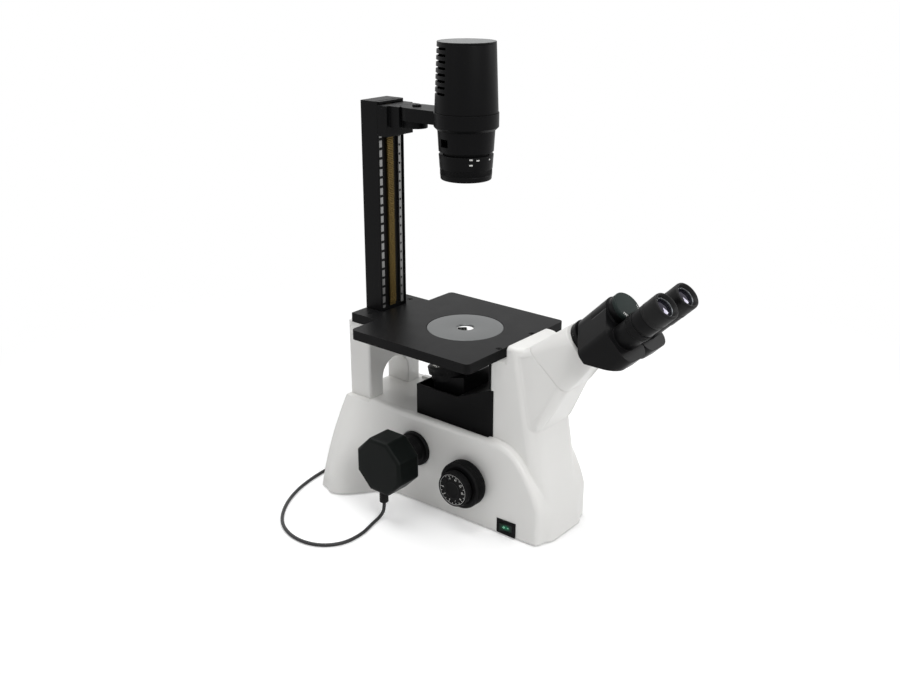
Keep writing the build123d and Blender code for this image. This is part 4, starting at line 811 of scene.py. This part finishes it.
for name, side in (("left", -1), ("right", 1)):
    eye_place = tube_place @ Matrix.Translation(mm(eye_half * side, -eye_drop, 0))
    eyepiece = joined(
        "eyepiece_form_" + name,
        lathe("tube_part", eye_place, tube_profile, 0.3, True, material=head_enamel),
        lathe("cup", eye_place, cup_profile, 0.5, True, material=cup_rubber),
        lathe("rim", eye_place, rim_profile, 0.25, True, material=rim_metal),
        ribs(cup_rubber, eye_place, 72, (18.2, 18.58), 0.4, (405, 409.5)))
    piece("eyepiece_form_" + name, eyepiece, head_enamel, "arm_" + name, "black_enamel", "eyepiece_" + name)
    piece("eye_lens_form_" + name, lathe("eye_lens_form_" + name, eye_place, lens_profile, 0.6), eye_glass,
          "arm_" + name, "lens_glass", "eye_lens_" + name)
ring_place = tube_place @ Matrix.Translation(mm(-eye_half, -eye_drop, 0))
ring_part = lathe("ring_part", ring_place, [
    (17.7, 374.8), (18.4, 374.8), (18.9, 375.3), (18.9, 385.1), (18.4, 385.6), (17.7, 385.6)], 0.25, True,
    material=head_enamel)
ring_milling = ribs(head_enamel, ring_place, 80, (18.7, 19.15), 0.4, (376.4, 384.2))
piece("diopter_ring_form", joined("diopter_ring_form", ring_part, ring_milling), head_enamel, "diopter",
      "black_enamel", "diopter_ring")

# Side port and camera: a turned black adapter screwed into the left wall, and on it an eight-sided camera in a black
# enamelled shell with a green cast. A ribbed rubber gland below the camera holds its cable.
camera_enamel = finished(
    "camera_enamel", grain, (0.0034, 0.0046, 0.0042), 0.4, (0.1, 0.0003), Grain_Scale=900.0, Cloud_Scale=20.0,
    Dust_Color=(0.1, 0.11, 0.105, 1), Dust=0.02, Edge_Color=(0.06, 0.07, 0.065, 1), Edge_Wear=0.35,
    Edge_Radius=0.0018, sockets={"Specular IOR Level": 0.07})
gland_rubber = finished(
    "gland_rubber", grain, (0.0055, 0.0055, 0.0055), 0.55, (0.15, 0.0002), Grain_Scale=1500.0, Cloud_Scale=80.0,
    Dust_Color=(0.12, 0.12, 0.12, 1), Dust=0.03, sockets={"Specular IOR Level": 0.15})
adapter = lathe("port_adapter_form", place_at((0, 38, 88), (-1, 0, 0), (0, 1, 0)), [
    (15.1, 50.1), (19.9, 50.1), (19.9, 65.1), (25.6, 65.1), (25.9, 66), (25.9, 70.6), (25.2, 71.7), (21.4, 71.9),
    (20.4, 72.6), (18.9, 73.4), (18.9, 84), (18.4, 84.5), (18.4, 86.5), (18.9, 87), (18.9, 103.9), (15.1, 103.9)],
    0.4, True, 128)
piece("port_adapter_form", adapter, black_enamel, "stand", "black_enamel", "port_adapter")
dressed("camera_body", camera_enamel, "stand", "black_enamel", 2.2, 4)
gland_ribs, rib_low, rib_step = 5, 23.6, 3.4
gland_profile = [(0, 21.6), (3.4, 21.6), (3.4, 22.6), (5.6, 23.0)]
for k in range(gland_ribs):
    low = rib_low + rib_step * k
    gland_profile += [(6.5, low), (6.5, low + 2.2), (6.1, low + 2.5), (6.1, low + 3.1)]
gland_profile += [(7.0, 40.8), (7.1, 41.4), (7.1, 46.6), (6.6, 47.4), (0, 47.4)]
gland = lathe("cable_gland_form", place_at((-127, 46, 0)), gland_profile, 0.3, steps=48)
piece("cable_gland_form", gland, gland_rubber, "stand", "black_rubber", "cable_gland")

# Mains switch: a black snap-in bezel low on the left wall with a rocker of clear green plastic.
# A lamp behind the rocker makes it glow, and it is marked with the usual strokes.
rocker_glow, shader = shader_of("rocker_glow", (0.002, 0.012, 0.007), 0.35, sockets={
    "Specular IOR Level": 0.2, "Emission Color": (0.02, 0.62, 0.30, 1)})
lit_mark = shader_of("lit_mark", (0.3, 0.6, 0.45), 0.5, sockets={
    "Emission Color": (0.35, 0.9, 0.6, 1), "Emission Strength": 0.5})[0]
tree = rocker_glow.node_tree
at = node_in(tree, "ShaderNodeTexCoord").outputs["Object"]
offset = node_in(tree, "ShaderNodeVectorMath", "SUBTRACT", (at, mm(-61, -123.5, 13.6))).outputs[0]
oval = node_in(tree, "ShaderNodeVectorMath", "MULTIPLY", (offset, (0, 130, 230))).outputs[0]
reach = node_in(tree, "ShaderNodeVectorMath", "LENGTH", (oval,)).outputs["Value"]
glow = node_in(tree, "ShaderNodeMapRange", None, (reach, 1.05, 0.0, 0.0, 0.22)).outputs[0]
tree.links.new(glow, shader.inputs["Emission Strength"])
dressed("switch_bezel", black_moulding, "stand", "black_plastic", 0.5)
rocker = painted(cad_form("switch_rocker", 0.4), rocker_glow)
half_lean, face_out = radians(8), 1.4
rocker_place = place_at((-60, -123.5, 13.6), (0, 0, 1), (0, 1, 0)) @ Matrix.Rotation(half_lean, 4, "Z")
near_half, far_half = [rocker_place @ Matrix.Translation(mm(0, face_out, 0)) @ Matrix.Rotation(half_lean * side, 4, "Z")
                       for side in (-1, 1)]
stroke = boxes("stroke", ((-4.6, -2.2), (-0.3, 0.06), (-0.4, 0.4)))
stroke.transform(near_half)
ring_mark = lathe("ring_mark", far_half @ place_at((3.4, 0, 0), (0, 1, 0)), [
    (0.8, -0.3), (0.8, 0.06), (1.4, 0.06), (1.4, -0.3)], 0, True, 36, lit_mark)
piece("rocker_form", joined("rocker_form", rocker, painted(stroke, lit_mark), ring_mark), rocker_glow, "rocker",
      "green_plastic", "switch_rocker")

# Brightness dial: a small moulded black knob on the right wall, ribbed round its rim, with a white pointer line.
# It is pressed on the spindle of the lamp's control.
dial_place = place_at((0, -123, 24), (1, 0, 0), (0, 1, 0))
dial_part = lathe("dial_part", dial_place, [
    (0, 50.1), (2.95, 50.1), (2.95, 63.6), (10.6, 63.6), (10.6, 74.2), (9.8, 75.4), (0, 75.4)], 0.5, steps=72,
    material=black_moulding)
dial_ribs = ribs(black_moulding, dial_place, 36, (10.2, 10.95), 0.5, (64.2, 73.8))
pointer = boxes("pointer", ((3, 9.4), (-0.45, 0.45), (75.3, 75.45)))
pointer.transform(dial_place @ Matrix.Rotation(radians(90), 4, "Z"))
piece("brightness_dial_form", joined("brightness_dial_form", dial_part, dial_ribs, painted(pointer, white_ink)),
      black_moulding, "dial", "black_plastic", "brightness_dial")

# Mains inlet: a black moulded socket, snapped into the rear wall, for a detachable lead.
# Three plated blades stand in it.
dressed("power_inlet", black_moulding, "stand", "black_plastic", 0.4)
blade_half, blade_high = 1.06, 2.06
blades = [((x - blade_half, x + blade_half), (164.1, 176.1), (z - blade_high, z + blade_high))
          for x, z in ((-7, 36), (0, 40), (7, 36))]
piece("inlet_blades", eased(boxes("inlet_blades", *blades), 0.3), nickel, "stand", "nickel")

# Camera cable: black round cable, 5 mm thick, with a soft matt skin. It leaves the gland, runs along the bench behind
# the base, and its spare length is wound in a flat tied coil of two layers.
cable_skin = finished(
    "cable_skin", grain, (0.016, 0.016, 0.017), 0.5, (0.15, 0.0002), Grain_Scale=1500.0, Cloud_Scale=60.0,
    Dust_Color=(0.2, 0.2, 0.2, 1), Dust=0.06, sockets={"Specular IOR Level": 0.35})
lie = 2.6
route = [(-127, 46, 21.5), (-127, 46, 12.5), (-131, 45.5, 6.2), (-140, 44.5, lie), (-158, 40.5, lie), (-188, 32, lie),
         (-224, 35, lie), (-250, 60, lie), (-256, 100, lie), (-240, 142, lie), (-204, 174, lie), (-160, 196, lie),
         (-112, 207, lie), (-62, 210.5, lie), (-12, 210.5, lie), (30, 210, lie), (60, 209.2, lie)]
coil_centre, turn_gap, layer_turns, outer_turn = (60, 246), 5.2, 3.5, 37.0
inner_turn = outer_turn - turn_gap * layer_turns
turn_points, first_layer, climb, climb_points = 16, 3.0, 0.4, 14
layer_points, step_points = int(turn_points * layer_turns), 4
second_layer = first_layer + turn_gap


def turn_point(start, k, reach, height):
    """Point of a turn, k points on from a start angle in degrees."""
    angle = radians(start + 360 / turn_points * k)
    return (coil_centre[0] + reach * cos(angle), coil_centre[1] + reach * sin(angle), height)


for k in range(1, layer_points + 1):
    route.append(turn_point(-90, k, outer_turn - turn_gap * k / turn_points, lie + climb * min(1, k / climb_points)))
for k in range(1, step_points + 1):
    route.append(turn_point(90, k, inner_turn, first_layer + turn_gap * k / step_points))
for k in range(1, layer_points + 1):
    route.append(turn_point(180, k, inner_turn + (outer_turn - inner_turn) * k / layer_points, second_layer))
route += [(97, 256, 7.5), (97, 264, 5.5), (97, 269, 4.3), (97, 274, 4.05)]
cable = bpy.data.objects.new("camera_cable_run", bpy.data.curves.new("camera_cable_run", "CURVE"))
cable.data.dimensions = "3D"
cable.data.bevel_depth = 0.0025
cable.data.bevel_resolution = 5
cable.data.resolution_u = 6
cable.data.use_fill_caps = True
run = cable.data.splines.new("NURBS")
run.points.add(len(route) - 1)
for point, place in zip(run.points, route):
    point.co = (*mm(*place), 1)
run.order_u = 3
run.use_endpoint_u = True
cable.data.materials.append(cable_skin)
scene.collection.objects.link(cable)
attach(cable, "stand")
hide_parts("camera_cable", "cable_coil")

# Plug: a black moulded grip with finger ribs on the cable's end.
# A bright folded steel shell with two latch windows stands out of it.
plug_low, plug_high = (v * 1000 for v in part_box("usb_plug"))
grip_long, rib_out, rib_wide, shell_in, window_in = 30, 0.2, 1.6, 1, 4.2
grip = boxes("plug_grip", ((plug_low.x, plug_high.x), (plug_low.y, plug_low.y + grip_long), (0.1, 8.0)),
             *[((plug_low.x - rib_out, plug_high.x + rib_out), (plug_low.y + y, plug_low.y + y + rib_wide), (2, 6))
               for y in (6, 10, 14, 18)])
shell = boxes("plug_shell", ((plug_low.x + shell_in, plug_high.x - shell_in), (plug_low.y + 29, plug_high.y),
                             (1.8, 6.3)))
windows = boxes("plug_windows", *[((x - 1.2, x + 1.2), (plug_low.y + 38, plug_low.y + 41), (6.2, 6.34))
                                  for x in (plug_low.x + window_in, plug_high.x - window_in)])
plug = piece("plug", joined("plug", painted(eased(grip, 0.9, 3), black_moulding), painted(eased(shell, 0.3), nickel),
                            painted(windows, black_moulding)), black_moulding, "stand", "black_plastic", "usb_plug")

# Coil tie: one flat woven hook-and-loop strap, closed round all the turns of the spare cable.
# It is cut from black tape and holds by its own overlap.
strap_angle, strap_half, strap_thick, strap_points = radians(150), 4, 0.5, 48
strap_reach, strap_middle, strap_out, strap_high, squareness = 28, 5.75, 12.9, 5.6, 5
outward, onward = Vector((cos(strap_angle), sin(strap_angle), 0)), Vector((-sin(strap_angle), cos(strap_angle), 0))
section = []
for k in range(strap_points):
    wide, high = cos(2 * pi * k / strap_points), sin(2 * pi * k / strap_points)
    grow = (abs(wide) ** squareness + abs(high) ** squareness) ** (-1 / squareness)
    section.append(Vector((strap_out * wide * grow, strap_high * high * grow)))
strap = bmesh.new()
for thick in (0.0, strap_thick):
    for edge in section:
        inner = edge * (1 - thick / 6)
        spot = Vector((*coil_centre, 0)) + outward * (strap_reach + inner.x)
        for half in (-strap_half, strap_half):
            strap.verts.new((spot + onward * half + Vector((0, 0, strap_middle + inner.y))) / 1000)
strap.verts.ensure_lookup_table()
inside = 2 * strap_points
for k in range(strap_points):
    a, b = 2 * k, 2 * ((k + 1) % strap_points)
    for corners in ((a, b, b + 1, a + 1), (inside + a, inside + a + 1, inside + b + 1, inside + b),
                    (a, inside + a, inside + b, b), (a + 1, b + 1, inside + b + 1, inside + a + 1)):
        strap.faces.new([strap.verts[c] for c in corners])
bmesh.ops.recalc_face_normals(strap, faces=strap.faces)
strap_mesh = bpy.data.meshes.new("coil_tie")
strap.to_mesh(strap_mesh)
strap.free()
strap_weave = finished("tie_weave", grain, (0.03, 0.03, 0.032), 0.85, (0.6, 0.0004), Grain_Scale=700.0,
                       Cloud_Scale=80.0, Dust_Color=(0.25, 0.25, 0.25, 1), Dust=0.1)
tie = piece("coil_tie", smooth(strap_mesh), strap_weave, "stand", "black_rubber")
